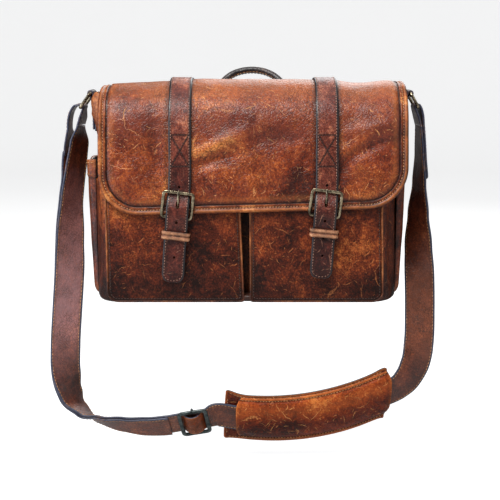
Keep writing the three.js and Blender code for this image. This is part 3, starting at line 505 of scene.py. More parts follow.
def leather(name, dark, mid, light, tan, patch=9.0, bias=0.0, contrast=1.0, scratch=0.6, pebble=0.5, crinkle=0.35, rough=0.42, coat=0.12,
            specks=0.5, seed=0.0, band=None, wear_gain=1.0, pale=None, grain=760.0, streak=0.0, spec=0.3):
    g = Net(name)
    P = g.attr("rc").outputs["Vector"]
    uv = g.attr("uvm").outputs["Vector"]
    wear = g.attr("wear").outputs["Fac"]
    painted_shade_and_seams = g.attr("dark").outputs["Fac"]
    tone = g.attr("tone").outputs["Fac"]
    Q = g.vec("ADD", P, (seed, seed * 0.7, seed * 1.3))
    n1 = g.noise(Q, patch, 3.0, 0.55, 0.3)
    n2 = g.noise(Q, patch * 3.7, 4.0, 0.62, 0.8)
    n3 = g.noise(Q, 150.0, 3.0, 0.6, 0.4)
    n4 = g.noise(Q, 420.0, 2.0, 0.6)
    v = g.add(g.mul(g.m1("SUBTRACT", n1, 0.5), 1.7 * contrast), g.mul(g.m1("SUBTRACT", n2, 0.5), 0.85 * contrast))
    v = g.add(v, g.mul(g.m1("SUBTRACT", n3, 0.5), 0.55 * contrast))
    v = g.add(v, g.mul(g.m1("SUBTRACT", n4, 0.5), 0.85 * contrast))
    v = g.add(v, g.m1("ADD", tone, 0.5 + bias))
    if streak:
        # long drawn marks along the strap
        s = g.node("Mapping", {"vector_type": "POINT"}, {"Vector": uv, "Scale": (1.0, 0.12, 1.0)}).outputs[0]
        v = g.add(v, g.mul(g.m1("SUBTRACT", g.noise(s, 230.0, 3.0, 0.6), 0.5), streak))
    col = g.ramp(v, [(0.10, dark), (0.44, mid), (0.74, light), (1.0, tan)])
    # position bands of painted sheen, light and shade on the flap and the shoulder strap
    if band:
        col = band(g, P, col)
    # rubbed pores
    vo = g.voro(Q, grain, "F1", "3D", 1.0)
    cell = vo.outputs["Distance"]
    pores = g.rng(cell, 0.25, 0.75)
    n5 = g.noise(Q, 55.0, 2.0, 0.5)
    col = g.mix(g.mul(g.mul(pores, g.rng(n5, 0.35, 0.65)), specks), col, tuple(c * 0.42 for c in dark[:3]) + (1,))
    # fine crinkles
    warp = g.vec("ADD", Q, g.vec("SCALE", g.noisec(Q, 110.0, 2.0), scale=0.006))
    cr = g.voro(warp, 250.0, "DISTANCE_TO_EDGE", "3D", 1.0).outputs["Distance"]
    crm = g.mul(g.rng(cr, 0.10, 0.0), g.rng(n1, 0.38, 0.62))
    col = g.mix(g.mul(crm, crinkle), col, tuple(c * 0.55 for c in dark[:3]) + (1,))
    # scratches
    wob = g.vec("ADD", uv, g.vec("SCALE", g.noisec(P, 75.0, 2.0), scale=0.0095))
    pale = pale or tan
    s1 = g.strokes(wob, 0.032, 0.019, 0.00062, 0.60, 26.0, seed)
    s2 = g.strokes(wob, 0.014, 0.0078, 0.00064, 0.62, 60.0, seed + 0.31)
    s3 = g.strokes(wob, 0.0072, 0.0036, 0.00056, 0.56, 90.0, seed + 0.77)
    s4 = g.strokes(wob, 0.050, 0.013, 0.0026, 0.50, 15.0, seed + 1.37)
    broken = g.rng(g.noise(P, 700.0, 2.0, 0.6), 0.36, 0.55)
    cluster = g.rng(g.noise(Q, 22.0, 2.0, 0.5), 0.42, 0.64)
    ss = g.m1("MAXIMUM", g.mul(s1, 1.0), g.mul(s2, 1.0))
    ss = g.m1("MAXIMUM", ss, g.mul(s3, 0.85))
    ss = g.m1("MAXIMUM", ss, g.mul(g.mul(s4, broken), 0.85))
    ss = g.mul(g.mul(ss, g.m1("MULTIPLY_ADD", broken, 0.55, 0.45)), g.m1("MULTIPLY_ADD", cluster, 0.65, 0.35))
    col = g.mix(g.mul(ss, scratch), col, pale)
    # worn edges, with a few painted highlights on crests; painted shade from the dark attribute in grooves, creases and
    # shaded places, and darker seams
    wn = g.m1("MULTIPLY", wear, g.m1("MULTIPLY_ADD", g.noise(P, 260.0, 3.0, 0.65), 1.5, -0.05), clamp=True)
    col = g.mix(g.m1("MULTIPLY", wn, wear_gain, clamp=True), col, tan)
    col = g.mix(g.m1("MULTIPLY", painted_shade_and_seams, 1.0, clamp=True), col, tuple(c * 0.25 for c in dark[:3]) + (1,))
    # bump: pebbles, crinkles, soft unevenness, scratches
    h = g.mul(g.m1("SUBTRACT", 1.0, cell), 0.55 * pebble)
    h = g.add(h, g.mul(g.noise(Q, 1500.0, 2.0, 0.6), 0.25 * pebble))
    h = g.add(h, g.mul(g.rng(cr, 0.0, 0.22), 0.9 * crinkle))
    h = g.m1("SUBTRACT", h, g.mul(ss, 0.5))
    b1 = g.bump(h, 0.55, 0.00055)
    b2 = g.bump(g.noise(Q, 60.0, 3.0, 0.5), 0.5, 0.0032, b1)
    r = g.add(g.m1("MULTIPLY_ADD", n2, 0.22, rough - 0.11), g.mul(ss, 0.2))
    r = g.add(r, g.mul(pores, 0.06))
    return g.finish(col, r, 0.0, b2, coat=coat, coat_rough=0.32, spec=spec)


def edge_paint(name, col, rub):
    g = Net(name)
    P = g.attr("rc").outputs["Vector"]
    n = g.noise(P, 240.0, 3.0, 0.6)
    n2 = g.noise(P, 34.0, 2.0, 0.5)
    c = g.mix(g.rng(n, 0.35, 0.7), tuple(x * 0.6 for x in col[:3]) + (1,), col)
    c = g.mix(g.mul(g.rng(n2, 0.5, 0.72), g.rng(n, 0.45, 0.6)), c, rub)
    return g.finish(c, g.m1("MULTIPLY_ADD", n, 0.25, 0.3), 0.0, g.bump(n, 0.35, 0.0004), coat=0.2, spec=0.5)


def metal(name, low, high, rough, spec_tint=0.0, grime=0.35, seed=0.0):
    g = Net(name)
    P = g.vec("ADD", g.attr("rc").outputs["Vector"], (seed, 0, 0))
    wear = g.attr("wear").outputs["Fac"]
    n = g.noise(P, 170.0, 4.0, 0.62)
    n2 = g.noise(P, 900.0, 2.0, 0.6)
    f = g.add(g.rng(n, 0.34, 0.7), g.mul(g.m1("SUBTRACT", n2, 0.5), 0.35))
    f = g.m1("ADD", f, g.mul(wear, 0.9), clamp=True)
    c = g.mix(f, low, high)
    r = g.m1("SUBTRACT", g.m1("MULTIPLY_ADD", n, 0.3, rough - 0.1), g.mul(wear, 0.12))
    return g.finish(c, r, 1.0, g.bump(n2, 0.22, 0.0003), coat=0.0)


def thread_mat(name, a, b):
    g = Net(name)
    P = g.attr("rc").outputs["Vector"]
    n = g.noise(P, 130.0, 2.0, 0.6)
    tw = g.noise(P, 1700.0, 2.0, 0.6)
    c = g.mix(g.rng(n, 0.35, 0.65), a, b)
    c = g.mix(g.mul(g.rng(tw, 0.5, 0.3), 0.5), c, tuple(x * 0.35 for x in a[:3]) + (1,))
    return g.finish(c, 0.62, 0.0, g.bump(tw, 0.5, 0.0003), sheen=0.2, spec=0.3)


def woven(name, a, b, pitch=0.0011):
    g = Net(name)
    P = g.attr("rc").outputs["Vector"]
    x, y, z = g.xyz(P)
    u = g.add(x, y)
    k = 6.2832 / pitch
    wx = g.m1("SINE", g.mul(u, k))
    wz = g.m1("SINE", g.mul(z, k))
    w = g.mul(wx, wz)
    n = g.noise(P, 22.0, 3.0, 0.6)
    n2 = g.noise(P, 320.0, 3.0, 0.6)
    c = g.mix(g.rng(g.add(w, g.mul(n2, 0.8)), -0.5, 1.2), a, b)
    c = g.mix(g.mul(g.rng(n, 0.4, 0.75), 0.4), c, tuple(q * 0.5 for q in a[:3]) + (1,))
    return g.finish(c, 0.85, 0.0, g.bump(g.add(w, n2), 0.5, 0.0004), sheen=0.4, spec=0.2)


def suede(name, a, b):
    g = Net(name)
    P = g.attr("rc").outputs["Vector"]
    n = g.noise(P, 30.0, 4.0, 0.6)
    f = g.noise(P, 1100.0, 3.0, 0.7)
    c = g.mix(g.rng(g.add(g.mul(n, 0.7), g.mul(f, 0.5)), 0.4, 0.85), a, b)
    return g.finish(c, 0.8, 0.0, g.bump(f, 0.6, 0.0005), sheen=0.35, spec=0.25)


def flap_painted_sheen_and_light(g, P, col):
    """Painted sheen: a greyer zone where the flap turns down; painted light from above: a honey tone along the ridge.
    """
    x, y, z = g.xyz(P)
    n = g.mul(g.m1("SUBTRACT", g.noise(P, 16.0, 3.0, 0.6), 0.5), 0.05)
    zz = g.add(z, n)
    f = g.mul(g.rng(zz, 0.186, 0.214), g.rng(zz, 0.250, 0.228))
    col = g.mix(g.mul(f, 0.42), col, lin(112, 56, 46))
    t = g.rng(zz, 0.240, 0.264)
    col = g.mix(g.mul(t, 0.45), col, lin(164, 92, 46))
    return col


def strap_painted_sheen_and_shade(g, P, col):
    """Painted sheen: a pale mauve bloom on the left-hand length; painted shade: darker hide by the right ring; warmer
    low on the right.
    """
    x, y, z = g.xyz(P)
    zz = g.add(z, g.mul(g.m1("SUBTRACT", g.noise(P, 22.0, 3.0, 0.6), 0.5), 0.09))
    left = g.rng(x, -0.17, -0.195)
    f = g.mul(left, g.mul(g.rng(zz, -0.12, -0.03), g.rng(zz, 0.18, 0.10)))
    col = g.mix(g.mul(f, 0.5), col, lin(178, 130, 130))
    right = g.rng(x, 0.17, 0.195)
    col = g.mix(g.mul(g.mul(right, g.rng(zz, 0.10, 0.21)), 0.6), col, lin(32, 19, 16))
    f = g.mul(right, g.mul(g.rng(zz, 0.07, 0.0), g.rng(zz, -0.11, -0.05)))
    return g.mix(g.mul(f, 0.3), col, lin(158, 88, 54))


M = {}
DK = lin(58, 27, 17)
M["flap"] = leather("flap_leather_hide", lin(58, 20, 11), lin(122, 48, 23), lin(166, 80, 34), lin(216, 132, 68), patch=8.0, bias=0.02, contrast=1.12,
                    scratch=0.82, pebble=0.7, crinkle=0.72, rough=0.34, coat=0.0, seed=1.3, band=flap_painted_sheen_and_light, pale=lin(228, 156, 94), spec=0.36)
M["body"] = leather("body_hide", lin(44, 19, 12), lin(88, 40, 22), lin(132, 68, 34), lin(186, 112, 62), patch=10.0, scratch=0.6, pebble=0.6, seed=3.1,
                    rough=0.42, coat=0.04, contrast=1.1)
M["pocket"] = leather("pocket_hide", lin(32, 11, 6), lin(88, 34, 18), lin(140, 62, 28), lin(196, 108, 52), patch=9.0, bias=-0.02, contrast=1.2, scratch=0.78,
                      pebble=0.75, crinkle=0.55, rough=0.40, coat=0.0, specks=0.6, seed=5.7, pale=lin(204, 124, 70), spec=0.22)
M["side"] = leather("side_pocket_hide", lin(30, 10, 7), lin(80, 30, 17), lin(128, 57, 30), lin(188, 110, 58), patch=11.0, scratch=0.4, pebble=0.6, seed=7.9,
                    rough=0.34, coat=0.0, contrast=1.2, spec=0.4)
M["dark"] = leather("dark_hide", lin(22, 13, 12), lin(44, 24, 20), lin(68, 36, 26), lin(120, 70, 46), patch=14.0, scratch=0.35, pebble=0.6, seed=9.2,
                    rough=0.40, coat=0.08)
M["tan"] = leather("tan_edge_hide", lin(66, 26, 12), lin(120, 52, 20), lin(158, 80, 34), lin(210, 134, 72), patch=26.0, scratch=0.5, pebble=0.35,
                   crinkle=0.2, specks=0.3, seed=11.4, rough=0.38, coat=0.08, contrast=1.2)
M["roll"] = leather("pocket_edge_hide", lin(44, 19, 11), lin(92, 42, 21), lin(134, 68, 34), lin(190, 118, 66), patch=30.0, scratch=0.4, pebble=0.35,
                    crinkle=0.2, specks=0.3, seed=12.9, rough=0.40, coat=0.05, contrast=1.3)
M["fstrap"] = leather("flap_strap_hide", lin(48, 19, 16), lin(94, 40, 31), lin(126, 62, 46), lin(180, 108, 78), patch=13.0, scratch=0.5, pebble=0.75, crinkle=0.5,
                      seed=13.8, rough=0.34, coat=0.04, specks=0.6, streak=0.5, contrast=1.15, pale=lin(204, 138, 108))
M["shstrap"] = leather("shoulder_strap_hide", lin(42, 18, 13), lin(88, 40, 26), lin(128, 62, 36), lin(176, 102, 62), patch=9.0, scratch=0.5, pebble=0.8,
                       crinkle=0.6, seed=17.1, rough=0.33, coat=0.08, specks=0.5, streak=0.6, contrast=0.95, spec=0.55, band=strap_painted_sheen_and_shade)
M["pad"] = leather("pad_hide", lin(50, 15, 7), lin(118, 42, 16), lin(166, 70, 26), lin(214, 122, 56), patch=9.0, bias=-0.02, contrast=1.05, spec=0.2, scratch=0.9, pebble=0.5, crinkle=0.35,
                   seed=19.6, rough=0.36, coat=0.0, pale=lin(232, 158, 92))
M["tab"] = leather("keeper_hide", lin(62, 30, 20), lin(118, 66, 42), lin(166, 108, 74), lin(224, 170, 130), patch=40.0, scratch=0.4, pebble=0.3, crinkle=0.1,
                   specks=0.2, seed=23.3, rough=0.42, coat=0.05, contrast=1.2)
# edge paint lifted to a pale blue-grey: partly a painted highlight on the edges
M["edge"] = edge_paint("painted_edge", lin(66, 68, 88), lin(120, 92, 82))
M["edge_dark"] = edge_paint("painted_edge_dark", lin(28, 22, 26), lin(82, 50, 38))
M["edge_tan"] = edge_paint("raw_edge", lin(120, 66, 38), lin(178, 112, 68))
M["brass"] = metal("aged_brass", (0.045, 0.037, 0.028, 1), (0.42, 0.34, 0.22, 1), 0.24)
M["handle"] = leather("handle_hide", lin(16, 13, 15), lin(32, 26, 28), lin(54, 42, 40), lin(96, 70, 58), patch=18.0, scratch=0.3, pebble=0.5, seed=27.1, rough=0.34, coat=0.1, spec=0.5)
M["gun"] = metal("gunmetal_plate", (0.020, 0.025, 0.026, 1), (0.10, 0.12, 0.118, 1), 0.34, seed=2.0)
M["thread"] = thread_mat("waxed_thread_dark", lin(36, 20, 16), lin(70, 40, 30))
M["thread_pink"] = thread_mat("waxed_thread_strap", lin(112, 72, 60), lin(176, 128, 108))
M["thread_tan"] = thread_mat("waxed_thread_tan", lin(150, 98, 58), lin(206, 150, 100))
M["lining"] = woven("lining_weave", lin(120, 96, 66), lin(158, 132, 96))
M["suede"] = suede("flesh_side", lin(58, 36, 27), lin(92, 60, 44))
M["felt"] = suede("pad_underside_felt", lin(24, 20, 19), lin(46, 38, 34))


# ------------------------------------------------------------------ dimensions (mm)
BODY_HW, Y_BACK, Y_MID, Y_FRONT = 187.0, 62.0, -28.0, -62.0
BODY_Z, BACK_Z = 238.0, 252.0
FLAP_CX = 8.0
BORDER_HW = 184.3            # the flap's sewn edge line, half width
BORDER_R = 47.0
TOP_PROFILE = [(65.3, 255.2), (62.6, 262.0), (56, 266.0), (44, 268.8), (28, 270.5), (10, 271), (-8, 269.6), (-22, 265.8), (-33, 259.8), (-42, 252)]
FRONT_PROFILE = [(-49, 244.5), (-55.5, 233), (-60, 218), (-62.8, 200), (-64.8, 180), (-66.4, 158), (-67.6, 138), (-68.6, 118)]
FLAP_STRAPS = {
    "left": dict(x=-80.5, lean=-4.5, cut=27.5, frame=-3.0, keeper=-2.0, rise=0.0),
    "right": dict(x=97.3, lean=-3.4, cut=32.5, frame=-4.0, keeper=-2.0, rise=2.0),
}
STRAP_HW = 13.8
BUCKLE_SHIFT = -1.4
HEEL_Z, HEEL_Y = 106.5, -70.6
HOLES = [144, 122, 101.7, 80.2, 58.6]

PROF = catmull(TOP_PROFILE + FRONT_PROFILE, 24)
PRUN = run_of(PROF)
LFLAP = float(PRUN[-1])
S_FOLD = float(PRUN[24 * (len(TOP_PROFILE) - 1)])


def profile(s):
    s = A(s)
    c = np.clip(s, 0, LFLAP)
    p = along(PROF, c, PRUN)
    t = unit(along(PROF, np.clip(c + 0.8, 0, LFLAP), PRUN) - along(PROF, np.clip(c - 0.8, 0, LFLAP), PRUN))
    p = p + t * (s - c)[..., None]
    return p, t


def border_distance(x, s):
    """How far inside the flap's edge line a point lies (sides and lower edge)."""
    qx = np.abs(A(x) - FLAP_CX) - (BORDER_HW - BORDER_R)
    qs = A(s) - (LFLAP + 2.0 - BORDER_R)
    outside = np.hypot(np.maximum(qx, 0), np.maximum(qs, 0)) + np.minimum(np.maximum(qx, qs), 0)
    return BORDER_R - outside


def strap_near(x):
    x = A(x)
    w = 0
    for d in FLAP_STRAPS.values():
        w = w + np.exp(-(np.abs(x - d["x"] + 1.5) / 20.0) ** 4)
    return np.clip(w, 0, 1)


# soft folds of the hide: x0, z0, x1, z1, half width, height, colour shift (painted light on raised hide, painted shade
# in the dips)
SOFT = [
    (-62, 184, -4, 209, 8.0, 2.6, 0.30), (-58, 171, -16, 183, 8.0, -2.6, -0.20), (-40, 164, -24, 128, 11.0, 2.2, 0.10),
    (-112, 216, -106, 168, 9.0, -2.2, -0.24), (-150, 222, -128, 214, 17.0, 1.6, 0.06), (-160, 176, -146, 152, 13.0, 1.3, 0.06),
    (-6, 236, 34, 214, 17.0, 1.5, 0.0), (18, 200, 66, 206, 11.0, -1.8, -0.16), (30, 176, 72, 150, 13.0, 1.8, 0.08), (58, 168, 70, 132, 10.0, -1.6, -0.15),
    (128, 208, 168, 216, 8.5, 2.3, 0.22), (116, 182, 150, 205, 6.5, 2.0, 0.12), (128, 180, 162, 196, 6.5, -2.0, -0.16), (140, 168, 166, 150, 13.0, 1.7, 0.10),
    (112, 146, 118, 176, 7.0, -1.8, -0.16), (0, 164, 6, 130, 11.0, 1.3, 0.05), (-22, 214, -48, 228, 12.0, -1.4, -0.06), (150, 236, 172, 230, 13.0, 1.5, 0.04),
]


def soft_folds(x, z):
    h = 0
    c = 0
    for x0, z0, x1, z1, w, hh, cc in SOFT:
        dx, dz = x1 - x0, z1 - z0
        L2 = dx * dx + dz * dz
        t = np.clip(((x - x0) * dx + (z - z0) * dz) / L2, 0, 1)
        d = np.hypot(x - x0 - t * dx, z - z0 - t * dz)
        g = np.exp(-(d / w) ** 2) * (0.75 + 0.25 * np.sin(math.pi * np.clip(t, 0.05, 0.95)))
        h = h + 1.35 * hh * g
        c = c + cc * g
    return h, c


CROWN_X = [-180, -170, -158, -142, -120, -98, -88, -66, -30, 20, 60, 82, 112, 122, 134, 150, 164, 176, 186, 196]
CROWN_D = [9.5, 8.0, 6.4, 5.2, 4.6, 3.0, 1.4, 0.4, 0.2, 0.2, 0.5, 0.9, 1.2, 3.6, 5.2, 5.0, 3.2, 2.0, 2.6, 4.0]


def crown(x):
    x = A(x)
    v = 0
    for o, w in ((-6, 0.2), (-2, 0.3), (2, 0.3), (6, 0.2)):
        v = v + w * np.interp(x + o, CROWN_X, CROWN_D)
    return v


def flap_disp(x, s):
    x, s = np.broadcast_arrays(A(x), A(s))
    near = strap_near(x)
    p = np.stack([x, s, np.zeros_like(x)], -1)
    d = fbm(p, 1 / 105.0, 2, 3) * 1.9 + fbm(p, 1 / 38.0, 2, 9) * 0.6
    z = profile(s)[0][..., 1]
    d = d + soft_folds(x, z)[0] * sstep(S_FOLD - 8, S_FOLD + 8, s)
    # broad dents below the fold, as in soft hide
    ridge = 1 - np.abs(noise3(np.stack([x * 0.8 + s * 0.55, s * 0.8 - x * 0.25, s * 0], -1), 1 / 62.0, 21))
    d = d - 0.9 * np.clip(ridge - 0.72, 0, 1) / 0.28 * sstep(S_FOLD, S_FOLD + 45, s)
    d = d * (1 - 0.72 * near) - 0.35 * near
    d = d * (0.35 + 0.65 * sstep(0, 40, s)) * (1 - 0.5 * sstep(LFLAP - 30, LFLAP, s))
    return d


def flap_skin(x, s, h):
    """Point of the flap: x across, s along from the rear edge, h above the outer surface."""
    x, s, h = np.broadcast_arrays(A(x), A(s), A(h))
    sl = s + np.where(s > S_FOLD, -0.026 * (x - FLAP_CX) * sstep(S_FOLD, LFLAP, s), 0)
    p, t = profile(sl)
    ny, nz = t[..., 1], -t[..., 0]
    hh = h + flap_disp(x, s)
    u = np.clip(s / S_FOLD, 0, 1)
    drop = crown(x) * np.sin(math.pi * u) ** 0.85
    wave = 0.9 * np.sin(math.pi * u) * noise3(np.stack([x, x * 0, x * 0], -1), 1 / 60.0, 5) * (1 - strap_near(x))
    return np.stack([x, p[..., 0] + ny * hh, p[..., 1] + nz * hh - drop + wave], -1)


def flap_normal(x, s):
    a = flap_skin(A(x) + 1, s, 0) - flap_skin(A(x) - 1, s, 0)
    b = flap_skin(x, A(s) + 1, 0) - flap_skin(x, A(s) - 1, 0)
    return unit(np.cross(b, a))


def flap_frame(x, s):
    n = flap_normal(x, s)
    p, _ = profile(s)
    return n


def half_width(s, inset=0.0):
    R = BORDER_R
    d = np.clip(A(s) - (LFLAP + 2.0 - R), 0, R - 0.02)
    return BORDER_HW - R + np.sqrt(R * R - d * d) - inset


FOLD_A = profile(S_FOLD - 13)[0]
FOLD_B = profile(S_FOLD + 13)[0]
FOLD = ("flap_top", "flap_front", (0, FOLD_A[0], FOLD_A[1]), (0, FOLD_B[0], FOLD_B[1]))


def make_flap():
    rows = np.unique(np.round(np.concatenate([np.linspace(0.5, LFLAP - 26, 84), np.linspace(LFLAP - 26, LFLAP + 0.8, 30)]), 3))
    cc = np.concatenate([np.linspace(-1, -0.86, 18), np.linspace(-0.86, 0.86, 66)[1:-1], np.linspace(0.86, 1, 18)])
    X = FLAP_CX + cc[None, :] * half_width(rows, 1.6)[:, None]
    S = np.repeat(rows[:, None], len(cc), 1)
    d = border_distance(X, S)
    puff = -0.8 * np.exp(-((d - 7.4) / 1.7) ** 2) + 1.0 * sstep(7.6, 14, d) * (1 - 0.55 * sstep(18, 60, d)) - 0.6 * sstep(6.4, 4.0, d)
    outer = flap_skin(X, S, puff)
    inner = flap_skin(X, S, -3.9)
    m, k = X.shape
    V = np.vstack([outer.reshape(-1, 3), inner.reshape(-1, 3)])
    idx = np.arange(m * k).reshape(m, k)
    F, fm = [], []
    for i in range(m - 1):
        for j in range(k - 1):
            F.append((idx[i, j], idx[i + 1, j], idx[i + 1, j + 1], idx[i, j + 1])); fm.append(0)
            F.append((idx[i, j] + m * k, idx[i, j + 1] + m * k, idx[i + 1, j + 1] + m * k, idx[i + 1, j] + m * k)); fm.append(1)
    ring = [idx[i, 0] for i in range(m)] + [idx[m - 1, j] for j in range(1, k)] + [idx[i, k - 1] for i in range(m - 2, -1, -1)] + [idx[0, j] for j in range(k - 2, 0, -1)]
    for a, b in zip(ring, ring[1:] + ring[:1]):
        F.append((a, a + m * k, b + m * k, b)); fm.append(2)
    F = outward(V, F)
    dd = d.ravel()
    # painted shade in the groove inside the binding
    dark = 0.95 * np.exp(-((dd - 7.3) / 1.1) ** 2) + 0.25 * np.exp(-((dd - 9.2) / 2.2) ** 2)
    wear = 0.35 * np.exp(-((dd - 13) / 3.5) ** 2) * (0.5 + 0.5 * noise3(outer.reshape(-1, 3), 1 / 33.0, 4))
    # rubbed along the ridge and where the flap turns down; painted shade next to the straps
    ss = S.ravel()
    xx = X.ravel()
    wear = wear + 0.16 * np.exp(-((ss - S_FOLD * 0.62) / 34.0) ** 2)
    side = 0
    for q in FLAP_STRAPS.values():
        e = np.abs(np.abs(xx - q["x"]) - STRAP_HW - 0.6)
        side = side + np.exp(-(e / 2.2) ** 2)
    dark = dark + 0.62 * np.clip(side, 0, 1) * (ss < LFLAP - 24)
    z = outer.reshape(-1, 3)[:, 2]
    # painted light from above: lighter towards the ridge, darker low on the front; the fold colour shift paints light
    # and shade on the soft folds
    tone = 0.10 * sstep(240, 262, z) - 0.05 * sstep(160, 118, z) + soft_folds(xx, z)[1] * (ss > S_FOLD - 8)
    # painted shade next to the straps, low on the front
    near_strap_shade = 0
    for q in FLAP_STRAPS.values():
        e = np.abs(xx - q['x']) - STRAP_HW
        near_strap_shade = near_strap_shade + np.exp(-(np.clip(e, 0, None) / 9.0) ** 2)
    tone = tone - 0.10 * near_strap_shade * sstep(206, 180, z)
    uvm = np.vstack([np.stack([xx, ss], -1)] * 2)
    o = mesh_object("flap_hide", V, F, [M["flap"], M["suede"], M["edge_dark"]], fmat=fm, uvm=uvm, wear=np.tile(np.clip(wear, 0, 1), 2), dark=np.tile(np.clip(dark, 0, 1), 2),
                    tone=np.tile(tone, 2))
    finish_piece(o, None, ("flap_top_panel", "flap_front_panel"), FOLD)


def border_path(q=0.0, step=3.0, s0=3.0):
    """The edge line in (x, s), left rear down round the bottom to right rear, moved outward by q."""
    pts = []
    Sb = LFLAP + 2.0
    left = [(FLAP_CX - BORDER_HW, s) for s in np.arange(s0, Sb - BORDER_R, step)]
    arc = [(FLAP_CX - BORDER_HW + BORDER_R - BORDER_R * math.cos(a), Sb - BORDER_R + BORDER_R * math.sin(a)) for a in np.linspace(0, math.pi / 2, 24)]
    bottom = [(x, Sb) for x in np.arange(FLAP_CX - BORDER_HW + BORDER_R + step, FLAP_CX + BORDER_HW - BORDER_R, step)]
    pts = A(left + arc + bottom)
    mirror = pts[::-1].copy()
    mirror = A(arc[::-1] + left[::-1])
    mirror[:, 0] = 2 * FLAP_CX - mirror[:, 0]
    pts = np.vstack([pts, mirror])
    t = unit(np.gradient(pts, axis=0))
    n = np.stack([-t[:, 1], t[:, 0]], -1)          # outward: left side moving down the page gives -x
    # orient outward
    c = A([FLAP_CX, 60.0])
    n = n * np.sign(((pts - c) * n).sum(1))[:, None]
    return pts + n * q, n


def make_binding():
    pts, n = border_path(0, 3.0)
    sec = A([(-6.6, -0.9), (-6.7, 0.0), (-6.4, 0.55), (-5.6, 0.8), (-4.4, 0.7), (-3.4, 0.35), (-2.8, 0.1), (-2.1, 0.25), (-1.3, 1.0), (-0.2, 1.65),
             (1.1, 1.6), (2.3, 0.8), (3.1, -0.6), (3.2, -2.1), (2.6, -3.6), (1.2, -4.6), (-1.0, -4.9), (-3.0, -4.6), (-5.2, -4.5), (-5.6, -4.0), (-5.2, -3.2), (-2, -2.2)])
    m = len(pts)
    rings, painted_shade, wv = [], [], []
    lump = noise3(np.stack([pts[:, 0], pts[:, 1], pts[:, 0] * 0], -1), 1 / 16.0, 8)
    for i in range(m):
        x = pts[i, 0] + n[i, 0] * sec[:, 0]
        s = pts[i, 1] + n[i, 1] * sec[:, 0]
        rings.append(flap_skin(x, s, sec[:, 1] + 0.18 * lump[i] * (sec[:, 0] > -3)))
        # painted shade in the groove at the binding's inner edge, in the stitch groove, under the roll and on its face
        # that turns under
        painted_shade.append(0.95 * np.exp(-((sec[:, 0] + 6.7) / 0.6) ** 2) + 0.75 * np.exp(-((sec[:, 0] + 2.8) / 0.6) ** 2) + 0.8 * (sec[:, 1] < -3) + 0.45 * (sec[:, 0] > 2.6))
        # the roll's crest is lighter: rub and painted highlight
        wv.append(0.50 * np.exp(-((sec[:, 0] - 0.2) / 1.1) ** 2) * (sec[:, 1] > 0))
    V, F, seg, row = grid_skin(A(rings))
    F = outward(V, F)
    run = run_of(pts)
    uvm = np.stack([np.tile(sec[:, 0], m), np.repeat(run, len(sec))], -1)
    o = mesh_object("flap_binding", V, F, [M["tan"]], uvm=uvm, wear=np.ravel(wv), dark=np.clip(np.ravel(painted_shade), 0, 1))
    finish_piece(o, None, ("flap_piping", "flap_top_piping_left", "flap_top_piping_right"), FOLD)
    # the row of stitches along the binding
    th = Threads()
    p2, n2 = border_path(-2.9, 1.5, 6.0)
    P3 = flap_skin(p2[:, 0], p2[:, 1], 0.35)
    N3 = flap_normal(p2[:, 0], p2[:, 1])
    th.line(P3, N3, 3.6, 2.2, 0.46, slant=0.2)
    th.make("flap_binding_stitches", M["thread_tan"], blend=FOLD, slot="tan_leather")


YOKE = ("bag", "flap_top", (0, 65.5, 247.5), (0, 62.0, 263.0))


